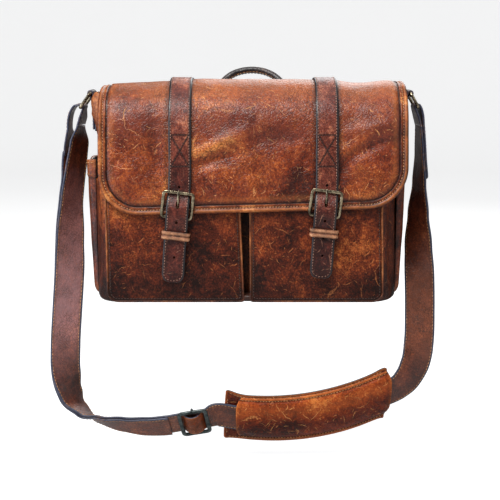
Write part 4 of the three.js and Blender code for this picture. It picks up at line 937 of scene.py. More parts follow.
def make_yoke():
    """Band that carries the flap over the bag's rear edge."""
    line = catmull([(64.2, 216), (64.3, 228), (64.9, 240), (66.2, 249), (67.0, 255.5), (65.2, 262), (60, 266.4), (55.5, 268.0)], 12)
    line = resample(line, 2.2)
    t = unit(np.gradient(line, axis=0))
    nrm = np.stack([t[:, 1], -t[:, 0]], -1)
    if nrm[0, 0] < 0:
        nrm = -nrm
    run = run_of(line)
    L = run[-1]
    xs = np.concatenate([np.linspace(-174, -166, 5), np.linspace(-166, 182, 60)[1:-1], np.linspace(182, 190, 5)])
    th = np.full(len(line), 2.0)
    m, k = len(line), len(xs)
    X = np.repeat(xs[None], m, 0)
    e = np.minimum(np.minimum(X + 174, 190 - X), np.minimum(run[:, None], (L - run)[:, None]))
    lumps = fbm(np.stack([X, np.repeat(run[:, None], k, 1), X * 0], -1), 1 / 50.0, 2, 31) * 0.5
    # the band follows the flap's crown: about 12 mm of it lies on the flap
    on_top = np.sin(math.pi * np.clip((run - (L - 14)) / S_FOLD, 0, 0.5)) ** 0.85
    drop = crown(X) * on_top[:, None] + 0.5
    up = 1.0 * (1 - np.exp(-e / 1.2)) + lumps
    dip = -0.45 * np.exp(-((e - 4.5) / 1.0) ** 2)
    def grid(h):
        return np.stack([X, line[:, 0][:, None] + nrm[:, 0][:, None] * h, line[:, 1][:, None] + nrm[:, 1][:, None] * h - drop], -1)
    outer, inner = grid(up + dip), grid(-1.0 + 0 * up)
    V = np.vstack([outer.reshape(-1, 3), inner.reshape(-1, 3)])
    idx = np.arange(m * k).reshape(m, k)
    F = []
    for i in range(m - 1):
        for j in range(k - 1):
            F.append((idx[i, j], idx[i, j + 1], idx[i + 1, j + 1], idx[i + 1, j]))
            F.append((idx[i, j] + m * k, idx[i + 1, j] + m * k, idx[i + 1, j + 1] + m * k, idx[i, j + 1] + m * k))
    ring = [idx[i, 0] for i in range(m)] + [idx[m - 1, j] for j in range(1, k)] + [idx[i, k - 1] for i in range(m - 2, -1, -1)] + [idx[0, j] for j in range(k - 2, 0, -1)]
    for a, b in zip(ring, ring[1:] + ring[:1]):
        F.append((a, b, b + m * k, a + m * k))
    F = outward(V, F)
    ee = e.ravel()
    wear = np.tile(0.8 * np.exp(-ee / 1.4), 2)
    # painted shade in the groove 4.5 mm in from the edges
    dark = np.tile(0.4 * np.exp(-((ee - 4.5) / 1.0) ** 2), 2)
    uvm = np.vstack([np.stack([X.ravel(), np.repeat(run, k)], -1)] * 2)
    o = mesh_object("flap_yoke", V, F, [M["body"]], uvm=uvm, wear=wear, dark=dark, tone=0.04)
    finish_piece(o, None, ("hinge_band",), YOKE)
    st = Threads()
    def row(i0, depth=4.5):
        pts = []
        for j in range(k):
            if 5 <= X[0, j] + 174 and X[0, j] <= 185:
                i = i0
                pts.append(outer[i, j])
        n = A([0, nrm[i0, 0], nrm[i0, 1]])
        st.line(A(pts), n, 4.2, 3.0, 0.42)
    row(2)
    row(m - 3)
    for j in (4, k - 5):
        st.line(outer[3:-3, j], np.stack([0 * nrm[3:-3, 0], nrm[3:-3, 0], nrm[3:-3, 1]], -1), 4.2, 3.0, 0.42)
    st.make("flap_yoke_stitches", M["thread_tan"], blend=YOKE, slot="tan_leather")


def cutter(points):
    V, F, _, _ = grid_skin(A(points))
    F = outward(V, F)
    me = bpy.data.meshes.new("cutter")
    me.from_pydata((V * MM).tolist(), [], [tuple(int(i) for i in f) for f in F])
    o = bpy.data.objects.new("cutter", me)
    TOP.objects.link(o)
    return o


def cut(o, cutters):
    """Cuts the cutters out of o's mesh for good, and removes them."""
    for c in cutters:
        mod = o.modifiers.new("hole", "BOOLEAN")
        mod.object = c
        mod.operation = "DIFFERENCE"
        mod.solver = "EXACT"
    bpy.context.view_layer.update()
    dg = bpy.context.evaluated_depsgraph_get()
    me = bpy.data.meshes.new_from_object(o.evaluated_get(dg), preserve_all_data_layers=True, depsgraph=dg)
    o.modifiers.clear()
    old = o.data
    o.data = me
    me.name = o.name
    for c in cutters:
        m = c.data
        bpy.data.objects.remove(c)
        bpy.data.meshes.remove(m)
    bpy.data.meshes.remove(old)
    return o


def strap_centre(st):
    """Centre line of a flap strap from its rear end to its tail, and the outward normals."""
    x0, lean = st["x"], math.tan(rad(st["lean"]))
    free = [(141, -68.3), (133, -70.0), (126, -73.2), (120, -75.5), (114, -76.3), (108, -76.2), (102, -74.8), (97, -73.0), (92, -71.7), (85, -71.0), (78, -70.9),
            (68, -70.9), (56, -70.8), (46, -69.8), (st["cut"] + 7, -69.0), (st["cut"] + 2.2, -68.7), (st["cut"], -68.6)]
    free = [(z + st["rise"], y) if i < 14 else (z, y) for i, (z, y) in enumerate(free)]
    s = np.arange(21.0, LFLAP, 6.0)
    P = flap_skin(x0, s, 0.45 + 1.6)
    top = P[P[:, 2] > 157]
    if len(top) < len(P):
        top = P[: np.argmax(P[:, 2] < 157)] if (P[:, 2] < 157).any() else P
    low = A([(x0 + lean * (150 - z), y - 1.6, z) for z, y in free])
    # a little slack between its holes
    line = resample(catmull(np.vstack([top, low]), 10), 1.15)
    T = unit(np.gradient(line, axis=0))
    X = A([1.0, 0, 0])
    W = unit(X[None] - T * (T @ X)[:, None])
    N = unit(np.cross(T, W))
    if N[len(N) // 2] @ A([0, -1, 0]) < 0:
        N = -N
    return line, T, W, N


def stitch_groove_shade(o, C, run, seed):
    """Paints shade into the grooves that the strap's stitches lie in, and paints light from above: lighter near the
    top, darker on the tail.
    """
    me = o.data
    n = len(me.vertices)
    uv = np.empty(n * 3, np.float32)
    me.attributes["uvm"].data.foreach_get("vector", uv)
    uv = uv.reshape(-1, 3) / MM
    a, r = uv[:, 0] - seed, uv[:, 1]
    z = np.interp(r, run, np.where(C[:, 1] < -45, C[:, 2], 1e3))
    ins = STRAP_HW - 2.7
    z0, z1 = 206.0, 168.5
    g = np.exp(-((np.abs(a) - ins) / 0.95) ** 2) * 0.85
    inside = (z < z0 + 1) & (z > z1 - 1)
    for e in (z0, z1):
        g = np.maximum(g, 1.0 * np.exp(-((z - e) / 1.15) ** 2) * (np.abs(a) < ins + 0.8))
    f = (z0 - z) / (z0 - z1)
    for sg in (-1, 1):
        g = np.maximum(g, 1.0 * np.exp(-((a - sg * ins * (1 - 2 * f)) * 0.86 / 1.1) ** 2) * inside)
    me.attributes["dark"].data.foreach_set("value", np.clip(g, 0, 1).astype(np.float32))
    z2 = np.interp(r, run, C[:, 2])
    tone = -0.22 * sstep(128, 96, z2) * (np.interp(r, run, C[:, 1]) < -45) + 0.16 * sstep(190, 235, z2) - 0.04
    me.attributes["tone"].data.foreach_set("value", tone.astype(np.float32))


def make_flap_strap(side):
    st = FLAP_STRAPS[side]
    C, T, W, N = strap_centre(st)
    run = run_of(C)
    L = run[-1]
    d = L - run
    taper = np.ones(len(C))
    r = 11.5
    taper = np.where(d < r, 0.42 + 0.58 * np.sqrt(np.clip(1 - ((r - d) / r) ** 2, 0, 1)), taper)
    taper = np.where(d < 0.8, 0.36, taper)
    taper = np.where(run < 3, 0.9 + 0.1 * run / 3, taper)
    sway = noise3(np.stack([run, run * 0, run * 0], -1), 1 / 60.0, 40 + len(side)) * 0.5
    C = C + W * (sway * sstep(60, 120, run))[:, None]
    o = ribbon("flap_strap_" + side, C, W, N, STRAP_HW, 3.1, [M["fstrap"], M["edge_dark"]], cols=30, crown=0.35, taper=taper, seed=31.0 if side == "left" else 77.0, wear_amp=0.55, er=1.2)
    lean = math.tan(rad(st["lean"]))
    cs = []
    for i, z in enumerate(HOLES):
        z = z + st["rise"]
        cx = st["x"] + lean * (150 - z)
        lo, hi, r = (z - 1.6, z + 3.6, 1.9) if i == 1 else (z, z, 1.7)
        out = []
        n = 14
        for y in (-58, -92):
            ring = []
            for k in range(n):
                a = 2 * math.pi * k / n
                zz = (hi if math.sin(a) > 0 else lo) + r * math.sin(a)
                ring.append((cx + r * math.cos(a), y, zz))
            out.append(ring)
        cs.append(cutter(out))
    cut(o, cs)
    stitch_groove_shade(o, C, run, 31.0 if side == "left" else 77.0)
    finish_piece(o, None, ("strap_top_" + side, "strap_front_" + side), FOLD)
    # stitches: both edges, round the tail, the sewn box with its cross
    st_ = Threads()
    sx = Threads()
    top = C + N * 1.78
    keep = (run > 3.5) & (run < L - 10)
    ins = STRAP_HW - 2.7
    for sgn in (-1, 1):
        st_.line((top + W * sgn * ins - N * 0.05)[keep], N[keep], 3.5, 2.1, 0.44)
    tail = []
    c0 = C[run < L - 10][-1]
    w0, t0, n0 = W[-8], T[-8], N[-8]
    for a in np.linspace(math.pi, 0, 13):
        tail.append(c0 + n0 * 1.72 + w0 * ins * math.cos(a) + t0 * 8.2 * math.sin(a))
    st_.line(A(tail), n0, 3.4, 2.1, 0.44)
    zc = C[:, 2]
    front = C[:, 1] < -45
    def at_z(z):
        i = int(np.argmin(np.abs(np.where(front, zc, 1e9) - z)))
        return i
    i0, i1 = at_z(206), at_z(168.5)
    for i in (i0, i1):
        sx.line([top[i] + W[i] * q for q in (-ins, 0, ins)], N[i], 3.3, 2.4, 0.42)
    for sgn in (-1, 1):
        seg = np.arange(i0, i1 + 1)
        f = (seg - i0) / (i1 - i0)
        sx.line(top[seg] + W[seg] * (sgn * ins * (1 - 2 * f))[:, None], N[seg], 3.6, 2.5, 0.42)
    j = 3
    st_.line([top[j] + W[j] * q for q in (-ins, 0, ins)], N[j], 3.8, 2.7, 0.40)
    st_.make("flap_strap_stitches_" + side, M["thread_pink"], blend=FOLD, slot="flap_strap_leather")
    sx.make("flap_strap_box_stitches_" + side, M["thread"], blend=FOLD, slot="flap_strap_leather")


def buckle_place(points, side, turn):
    """From the buckle's own axes (about its heel bar) to the bag's."""
    st = FLAP_STRAPS[side]
    th = -rad(turn)
    P = A(points)
    x = P[..., 0] * math.cos(th) + P[..., 2] * math.sin(th)
    z = -P[..., 0] * math.sin(th) + P[..., 2] * math.cos(th)
    hz = HEEL_Z + st["rise"]
    hx = st["x"] + math.tan(rad(st["lean"])) * (150 - hz)
    return np.stack([x + hx, P[..., 1] + HEEL_Y, z + hz], -1)


def rounded_loop(hw, z0, z1, r, n=7):
    pts = []
    for cx, cz, a0 in ((hw - r, z0 + r, -90), (hw - r, z1 - r, 0), (-hw + r, z1 - r, 90), (-hw + r, z0 + r, 180)):
        for k in range(n):
            a = rad(a0 + 90 * k / (n - 1))
            pts.append((cx + r * math.cos(a), cz + r * math.sin(a)))
    return A(pts)


def square_profile(n=16, p=3.2):
    a = (np.arange(n) + 0.5) / n * 2 * math.pi
    c, s = np.cos(a), np.sin(a)
    k = (np.abs(c) ** p + np.abs(s) ** p) ** (-1 / p)
    return np.stack([c * k, s * k], -1)


def bar_wear(scale=1.0, seed=0):
    return lambda V: np.clip(0.25 + 0.55 * noise3(V, 1 / 9.0, seed) + 0.3 * noise3(V, 1 / 3.0, seed + 1), 0, 1) * scale


def make_buckle(side):
    st = FLAP_STRAPS[side]
    tilt = st["lean"] + st["frame"]
    body = "buckle_" + side
    loop = rounded_loop(18.0, 0.0, 31.0, 3.2, 6)
    loop = resample(loop, 1.6, closed=True)
    P = np.stack([loop[:, 0] + BUCKLE_SHIFT, -3.9 * (loop[:, 1] / 31.0) - 0.25 * np.sin(loop[:, 1] / 31.0 * math.pi), loop[:, 1]], -1)
    P = buckle_place(P, side, tilt)
    # flat-sided wire, a bit wider than deep
    prof = square_profile(16, 2.9) * A([1.0, 0.92])
    tube("buckle_frame_metal_" + side, P, 1.95, [M["brass"]], closed=True, profile=prof, body=body, nodes=("buckle_frame_" + side,), ref=(0, -1, 0),
         wearf=bar_wear(1.0, 3))
    # prong: eye round the heel bar, tongue through the hole on to the top bar
    path = catmull([(-1.9, 1.6), (-2.3, 5.5), (-2.5, 9.5), (-3.4, 13), (-5.2, 17), (-7.0, 21.5), (-7.4, 26), (-7.2, 30.6), (-6.5, 33.2)], 6)
    P = np.stack([path[:, 0] * 0, path[:, 0], path[:, 1]], -1)
    P = buckle_place(P, side, st["lean"])
    r = np.interp(run_of(path), [0, 6, 30, 36, 38], [1.15, 1.35, 1.3, 1.1, 0.85])
    o = tube("buckle_prong_metal_" + side, P, r, [M["brass"]], profile=square_profile(12, 2.4), body="prong_" + side, nodes=("buckle_prong_" + side,),
             ref=(0, -1, 0), wearf=bar_wear(1.0, 6))
    a = np.linspace(0, 2 * math.pi, 22, endpoint=False)
    eye = np.stack([a * 0, 2.75 * np.cos(a), 2.75 * np.sin(a)], -1)
    eye = buckle_place(eye, side, st["lean"])
    e = tube("buckle_prong_eye_" + side, eye, 0.75, [M["brass"]], closed=True, profile=square_profile(10, 3) * A([1.8, 1.0]), body="prong_" + side, ref=(1, 0, 0),
             wearf=bar_wear(0.8, 7))
    # billet behind the strap
    line = catmull([(1.9, 58 - HEEL_Z), (1.9, 72 - HEEL_Z), (1.8, 88 - HEEL_Z), (1.2, 97 - HEEL_Z), (0.9, 102.4 - HEEL_Z)], 8)
    P = buckle_place(np.stack([line[:, 0] * 0, line[:, 0], line[:, 1]], -1), side, st["lean"])
    P = resample(P, 1.6)
    T = unit(np.gradient(P, axis=0))
    Wd = buckle_place(A([[1.0, 0, 0]]), side, st["lean"])[0] - buckle_place(A([[0, 0, 0]]), side, st["lean"])[0]
    W = unit(Wd[None] - T * (T @ Wd)[:, None])
    N = np.cross(T, W)
    o = ribbon("buckle_billet_" + side, P, W, N, 11.2, 2.6, [M["fstrap"], M["edge_dark"]], cols=6, seed=5.0)
    finish_piece(o, "flap_front", ("buckle_tab_" + side,))
    # keeper: band with two raised welts and a groove between them
    kz = 85 - HEEL_Z + st["rise"] * 0.6
    x0, y0, y1 = 16.2, -6.3, 4.2
    loop = []
    rr = 2.6
    for cx, cy, a0 in ((x0 - rr, y0 + rr, -90), (x0 - rr, y1 - rr, 0), (-x0 + rr, y1 - rr, 90), (-x0 + rr, y0 + rr, 180)):
        for k in range(6):
            a = rad(a0 + 18 * k)
            loop.append((cx + rr * math.cos(a), cy + rr * math.sin(a)))
    loop = resample(A(loop), 1.5, closed=True)
    t2 = unit(np.roll(loop, -1, 0) - np.roll(loop, 1, 0))
    n2 = np.stack([t2[:, 1], -t2[:, 0]], -1)
    sec = A([(-5.2, -0.7), (-5.3, 0.0), (-5.0, 0.65), (-4.2, 1.05), (-2.9, 1.2), (-1.5, 1.0), (-0.6, 0.45), (0, 0.2), (0.6, 0.45), (1.5, 1.0), (2.9, 1.2), (4.2, 1.05),
             (5.0, 0.65), (5.3, 0.0), (5.2, -0.7), (2.5, -0.85), (-2.5, -0.85)])
    rings = []
    for i in range(len(loop)):
        rings.append(np.stack([loop[i, 0] + n2[i, 0] * sec[:, 1], loop[i, 1] + n2[i, 1] * sec[:, 1], sec[:, 0]], -1))
    R = A(rings)
    th = rad(-st["keeper"])
    x = R[..., 0] * math.cos(th) + R[..., 2] * math.sin(th)
    z = -R[..., 0] * math.sin(th) + R[..., 2] * math.cos(th)
    R = np.stack([x, R[..., 1], z + kz], -1)
    R = buckle_place(R, side, st["lean"])
    V, F, seg, row = grid_skin(R, closed=True)
    F = outward(V, F)
    # painted shade in the groove between the welts; darker along the upper edge; the welts' crests are lighter, rub and
    # painted highlight
    dk = np.tile(0.85 * np.exp(-(sec[:, 0] / 0.45) ** 2) + 0.7 * np.exp(-((sec[:, 0] - 5.2) / 0.5) ** 2), len(loop))
    wr = np.tile(0.55 * np.exp(-((np.abs(sec[:, 0]) - 2.9) / 1.3) ** 2), len(loop))
    uvm = np.stack([np.tile(sec[:, 0], len(loop)), np.repeat(run_of(loop), len(sec))], -1)
    o = mesh_object("strap_keeper_" + side, V, F, [M["tab"]], uvm=uvm, wear=wr, dark=dk)
    finish_piece(o, "flap_front", ("keeper_" + side,))
    # clasp: tongue plate behind the billet, catch plate on the pocket
    def plate(name, hwx, z0, z1, yb, yf, mat, body, node, turn, world=False, cx=0):
        lp = rounded_loop(hwx, z0, z1, 3.6, 6)
        rings = []
        for y, q in ((yb, 0.95), (yb, 1.0), (lerp(yb, yf, 0.6), 1.0), (yf, 0.93), (yf, 0.5), (yf, 0.05)):
            c = A([0, (z0 + z1) / 2])
            L2 = c + (lp - c) * q
            rings.append(np.stack([L2[:, 0], np.full(len(L2), y), L2[:, 1]], -1))
        R = A(rings)
        R = buckle_place(R, side, turn) if not world else R + A([cx, 0, 0])
        V, F, seg, row = grid_skin(R)
        F = outward(V, F)
        o = mesh_object(name, V, F, [mat], wear=bar_wear(0.8, 12)(V))
        return finish_piece(o, body, (node,))
    plate("clasp_tongue_plate_" + side, 12, 58.5 - HEEL_Z, 77 - HEEL_Z, 5.4, 3.5, M["brass"], "flap_front", "clasp_tongue_" + side, st["lean"])
    cx = st["x"] + math.tan(rad(st["lean"])) * (150 - 68)
    plate("clasp_catch_plate_" + side, 13, 56, 82, Y_FRONT - 0.3, Y_FRONT - 2.6, M["brass"], "bag", "clasp_catch_" + side, 0, True, cx)


# ------------------------------------------------------------------ bag body
def poly_ring(corners, radii, counts, arc_n=6, closed=True):
    """Points along a polygon with rounded corners; every call with the same counts gives the same number of points."""
    P = A(corners)
    n = len(P)
    out = []
    info = []
    idxs = range(n) if closed else range(n)
    for i in idxs:
        b = P[i]
        if not closed and (i == 0 or i == n - 1):
            arc = [b]
        else:
            a, c = P[(i - 1) % n], P[(i + 1) % n]
            u, w = unit(a - b), unit(c - b)
            r = radii[i]
            s, e = b + u * r, b + w * r
            t = np.linspace(0, 1, arc_n)[:, None]
            arc = list((1 - t) ** 2 * s + 2 * t * (1 - t) * (b * 0.86 + (s + e) * 0.07) + t ** 2 * e)
        info.append(arc)
    for i in range(n if closed else n - 1):
        arc = info[i]
        out += arc
        a = arc[-1]
        b = info[(i + 1) % n][0]
        for k in range(1, counts[i]):
            out.append(lerp(a, b, k / counts[i]))
    if not closed:
        out += info[-1]
    return A(out)


def shell(name, ring_at, zs_out, zs_in, inset, mats, disp, close_bottom=True, floor=4.0, wearf=None, darkf=None, tonef=None, scale=1.0, rim_mat=1):
    """Outer and inner rings of an open-topped soft shell; no mesh is built. ring_at(z, inset) gives a closed ring in x,
    y; disp moves the outer points; the inner skin follows it.
    """
    rows = []
    mat_rows = []
    for z in zs_out:
        rows.append(ring_at(z, 0.0))
    outer = A(rows)
    inner = A([ring_at(z, inset) for z in zs_in])
    O = disp(outer)
    I = disp(inner)
    return O, I


def body_ring(z, inset):
    """Horizontal section of the bag at height z."""
    k = inset
    r = 15.0
    # base edge turned in
    lowr = 9.0
    d = max(lowr - z, 0)
    tuck = lowr - math.sqrt(max(lowr * lowr - d * d, 0.0)) if d > 0 else 0.0
    x = BODY_HW - 1.0 - k - tuck
    y0, y1 = Y_MID + 0.4 + k + tuck, Y_BACK - 0.4 - k - tuck
    rr = max(r - k * 0.6 - tuck * 0.3, 4)
    c = [(-x, y0), (x, y0), (x, y1), (-x, y1)]
    ring = poly_ring(c, [rr, rr, rr * 0.8, rr * 0.8], [64, 22, 64, 22])
    return np.hstack([ring, np.full((len(ring), 1), z)])


def body_disp(P):
    x, y, z = P[..., 0], P[..., 1], P[..., 2]
    side = sstep(165, 187, np.abs(x)) * sstep(-28.5, -21, y) * sstep(61, 48, y)
    s = np.sign(x)
    # gussets: pulled in half way up, full at the top front corner, a fold across
    mid = np.exp(-((y - 18) / 24.0) ** 2)
    pull = -5.0 * mid * sstep(20, 90, z) * sstep(236, 180, z)
    full = 8.5 * np.exp(-((y + 18) / 10.0) ** 2) * np.exp(-((z - 238) / 19.0) ** 2) * sstep(262, 250, z)
    fold = -2.6 * np.exp(-((z - 203 - 0.15 * (y - 10)) / 4.0) ** 2) * np.exp(-((y + 4) / 20.0) ** 2)
    fold2 = -1.6 * np.exp(-((z - 232 + 0.35 * (y + 6)) / 3.2) ** 2) * np.exp(-((y + 10) / 12.0) ** 2)
    lump = 1.3 * fbm(P, 1 / 46.0, 2, 51)
    dx = side * (pull + np.minimum(full, 7.0) + fold + fold2 + lump)
    cap = 0.2 + 7.0 * sstep(-5.5, -10, y) + 7.0 * sstep(36, 42, y)
    dx = np.minimum(dx, cap)
    # back panel: soft belly, kept flat under the flap's band
    back = sstep(52, 60, y) * sstep(186, 150, np.abs(x))
    dy = back * (1.2 * np.sin(np.clip(z / 215.0, 0, 1) * math.pi) + 0.5 * fbm(P, 1 / 60.0, 2, 57)) * sstep(222, 190, z)
    dy = np.minimum(dy, 1.8)
    dz = -0.8 * np.abs(noise3(P, 1 / 50.0, 58)) * sstep(200, 235, z)
    out = P.copy()
    out[..., 0] = x + s * dx
    out[..., 1] = y + dy
    out[..., 2] = z + dz
    return out


def rim_height(P, top_front=BODY_Z, top_back=BACK_Z):
    """Stretches the upper rows so the rim rises from the front to the back panel."""
    y, z = P[..., 1], P[..., 2]
    f = sstep(30, 58, y)
    rise = (top_back - top_front) * f * sstep(190, BODY_Z, z)
    # soft corners that stand up under the flap's ends
    fall = 17.5 * sstep(166, 183, np.abs(P[..., 0])) * sstep(26, 4, y) * sstep(200, BODY_Z, z)
    out = P.copy()
    out[..., 2] = z + rise + fall
    return out


def make_body():
    zo = np.concatenate([[0.0, 0.35, 1.2, 2.6, 4.6, 7.0, 10.0], np.linspace(14, BODY_Z, 62)])
    zi = np.concatenate([[BODY_Z + 0.0], np.linspace(BODY_Z - 3, 5.0, 40)])
    rings = []
    base = body_ring(0.0, 0.0)
    c = base.mean(0)
    for q in (0.02, 0.35, 0.7, 0.9):
        r = c + (base - c) * A([q, q, 1]); r[:, 2] = 0.0
        rings.append(r)
    for z in zo:
        rings.append(body_ring(z, 0.0))
    top = body_ring(BODY_Z, 0.8); top[:, 2] = BODY_Z + 0.7
    rings.append(top)
    top = body_ring(BODY_Z, 1.9); top[:, 2] = BODY_Z + 0.7
    rings.append(top)
    n_out = len(rings)
    for z in zi:
        rings.append(body_ring(z, 2.7))
    inner = rings[-1]
    c2 = inner.mean(0)
    for q in (0.7, 0.02):
        rings.append(c2 + (inner - c2) * A([q, q, 1]))
    R = body_disp(rim_height(A(rings)))
    V, F, seg, row = grid_skin(R)
    F = outward(V, F)
    fm = (row >= n_out).astype(int)
    x, y, z = V[:, 0], V[:, 1], V[:, 2]
    # seams at the four upright corners and round the base
    seam = np.exp(-((np.abs(x) - 174.5) / 1.3) ** 2) * ((y < -20) | (y > 55))
    dark = 0.75 * seam + 0.5 * np.exp(-((z - 11.5) / 1.0) ** 2) + 0.35 * sstep(24, 4, z)
    # painted shade in the gusset's fold
    dark = dark + 0.55 * np.exp(-((z - 203 - 0.15 * (y - 10)) / 3.0) ** 2) * (np.abs(x) > 180) * np.exp(-((y + 4) / 18.0) ** 2)
    edge = np.exp(-((np.abs(x) - 181) / 4.0) ** 2) * ((y < -14) | (y > 50))
    wear = 0.25 * edge + 0.35 * np.exp(-((z - 3.0) / 2.5) ** 2) + 0.6 * (row_of(V, R, n_out))
    tone = 0.30 * sstep(214, 232, z) * sstep(168, 180, np.abs(x)) * (y < 20) - 0.05
    o = mesh_object("bag_body", V, F, [M["body"], M["lining"]], fmat=fm, wear=np.clip(wear, 0, 1), dark=np.clip(dark, 0, 1), tone=tone)
    finish_piece(o, "bag", ("back_panel", "front_panel", "gusset_left", "gusset_right", "base_panel"))
    return R, n_out


def row_of(V, R, n_out):
    k = R.shape[1]
    w = np.zeros(len(V))
    w[(n_out - 3) * k:(n_out) * k] = 1.0
    return w


def make_lining():
    def ring(z, k):
        x = BODY_HW - 4.6 - k
        y0, y1 = Y_MID + 4.6 + k, Y_BACK - 4.6 - k
        r = poly_ring([(-x, y0), (x, y0), (x, y1), (-x, y1)], [11 - k * .5] * 4, [48, 16, 48, 16])
        return np.hstack([r, np.full((len(r), 1), z)])
    zs = np.linspace(5.2, 232, 50)
    rings = []
    base = ring(5.0, 1.0)
    c = base.mean(0)
    for q in (0.02, 0.5, 0.94):
        rings.append(c + (base - c) * A([q, q, 1]))
    for z in zs:
        rings.append(ring(z, 0.0 if z > 8 else 0.7))
    rings.append(ring(233.6, 0.9)); rings.append(ring(233.6, 2.4))
    for z in zs[::-1]:
        # padded panels: soft pillows between sewn channels
        q = 0.5 + 0.5 * math.cos(2 * math.pi * (z - 8) / 56.0)
        rings.append(ring(max(z, 9.2) if z < 9.2 else z, 3.1 + 1.1 * (1 - q ** 6) * sstep(8, 20, z)))
    inner = ring(9.0, 3.4)
    c = inner.mean(0)
    for q in (0.94, 0.5, 0.02):
        rings.append(c + (inner - c) * A([q, q, 1]))
    R = A(rings)
    # the padding follows the outer wall where it pulls in
    R2 = R.copy()
    D = body_disp(R) - R
    R2[..., 0] += np.minimum(D[..., 0] * np.sign(R[..., 0]), 0) * np.sign(R[..., 0]) * 1.0
    rise = (BACK_Z - BODY_Z) * sstep(30, 58, R[..., 1]) * sstep(190, 232, R[..., 2]) * 0.8
    R2[..., 2] += rise
    V, F, seg, row = grid_skin(R2)
    F = outward(V, F)
    o = mesh_object("padded_lining_fabric", V, F, [M["lining"]], wear=0)
    finish_piece(o, "bag", ("padded_lining",))


# ------------------------------------------------------------------ front pockets
POCKET_TOP = 150.0
FP = {"left": dict(s=-1, ob=171.0, ot=172.0, ib=2.5, it=9.0, cx=0), "right": dict(s=1, ob=168.5, ot=165.0, ib=4.3, it=3.4, cx=0)}


def fp_ring(side, z, inset, n_front=56):
    q = FP[side]
    s = q["s"]
    f = z / POCKET_TOP
    out = lerp(q["ob"], q["ot"], f)
    inn = lerp(q["ib"], q["it"], f)
    r = 13.0
    d = max(r - z, 0.0)
    cut_ = r - math.sqrt(max(r * r - d * d, 0.0)) if d > 0 else 0.0
    r2 = 3.0
    d2 = max(r2 - z, 0.0)
    cut2 = r2 - math.sqrt(max(r2 * r2 - d2 * d2, 0.0)) if d2 > 0 else 0.0
    r3 = 5.0
    d3 = max(r3 - z, 0.0)
    tuck = (r3 - math.sqrt(max(r3 * r3 - d3 * d3, 0.0))) if d3 > 0 else 0.0
    k = inset
    xo, xi = out - cut_ - k, inn + cut2 + k
    yb = Y_MID - 0.4
    yf = Y_FRONT + k + tuck
    # the outer wall opens towards the back, the inner one stays upright
    r4 = 7.0
    d4 = max(r4 - z, 0.0)
    cut4 = (r4 - math.sqrt(max(r4 * r4 - d4 * d4, 0.0))) if d4 > 0 else 0.0
    back_out = min(out + 17.5, BODY_HW - 1.6) - k - cut4
    mid_out = out + 11.5 - k - cut4 - 2.0 * math.sin(math.pi * min(z / 150.0, 1.0))
    ring = poly_ring([(back_out, yb), (mid_out, lerp(yb, yf, 0.55)), (xo, yf), (xi, yf), (xi, yb)], [1, 9, 6.0 - k * .4, 4.0 - k * .3, 1],
                     [5, 5, n_front, 12, 1], arc_n=6, closed=False)
    ring[:, 0] *= s
    return np.hstack([ring, np.full((len(ring), 1), max(z, 1.0))])


def fp_disp(side):
    q = FP[side]
    s = q["s"]
    def f(P):
        x, y, z = P[..., 0], P[..., 1], P[..., 2]
        u = np.clip((x * s - q["ib"]) / (q["ob"] - q["ib"]), 0, 1)
        front = sstep(-52, -60, y)
        belly = 2.9 * np.sin(math.pi * u) ** 0.7 * np.sin(math.pi * np.clip(z / 158.0, 0, 1)) ** 0.8
        lump = 1.0 * fbm(P * A([1, 0.3, 1]), 1 / 52.0, 2, 71 if s < 0 else 83) * sstep(3, 14, z)
        edge = 0.9 * np.exp(-((u * (q["ob"] - q["ib"]) - 7) / 3.0) ** 2) + 0.9 * np.exp(-(((1 - u) * (q["ob"] - q["ib"]) - 9) / 3.5) ** 2)
        dy = -front * (belly + lump - edge * 0.5)
        sidef = sstep(-60, -50, y) * sstep(-28, -34, y)
        outerw = (u > 0.97)
        dx = s * outerw * sidef * (-2.2 * np.exp(-((y + 44) / 7.0) ** 2) * sstep(8, 40, z) + 0.8 * noise3(P, 1 / 28.0, 90))
        out = P.copy()
        out[..., 0] = x + dx
        out[..., 1] = y + dy
        # the mouth sags a little between its corners
        out[..., 2] = z - 2.2 * np.sin(math.pi * u) * sstep(110, 150, z) * front
        return out
    return f


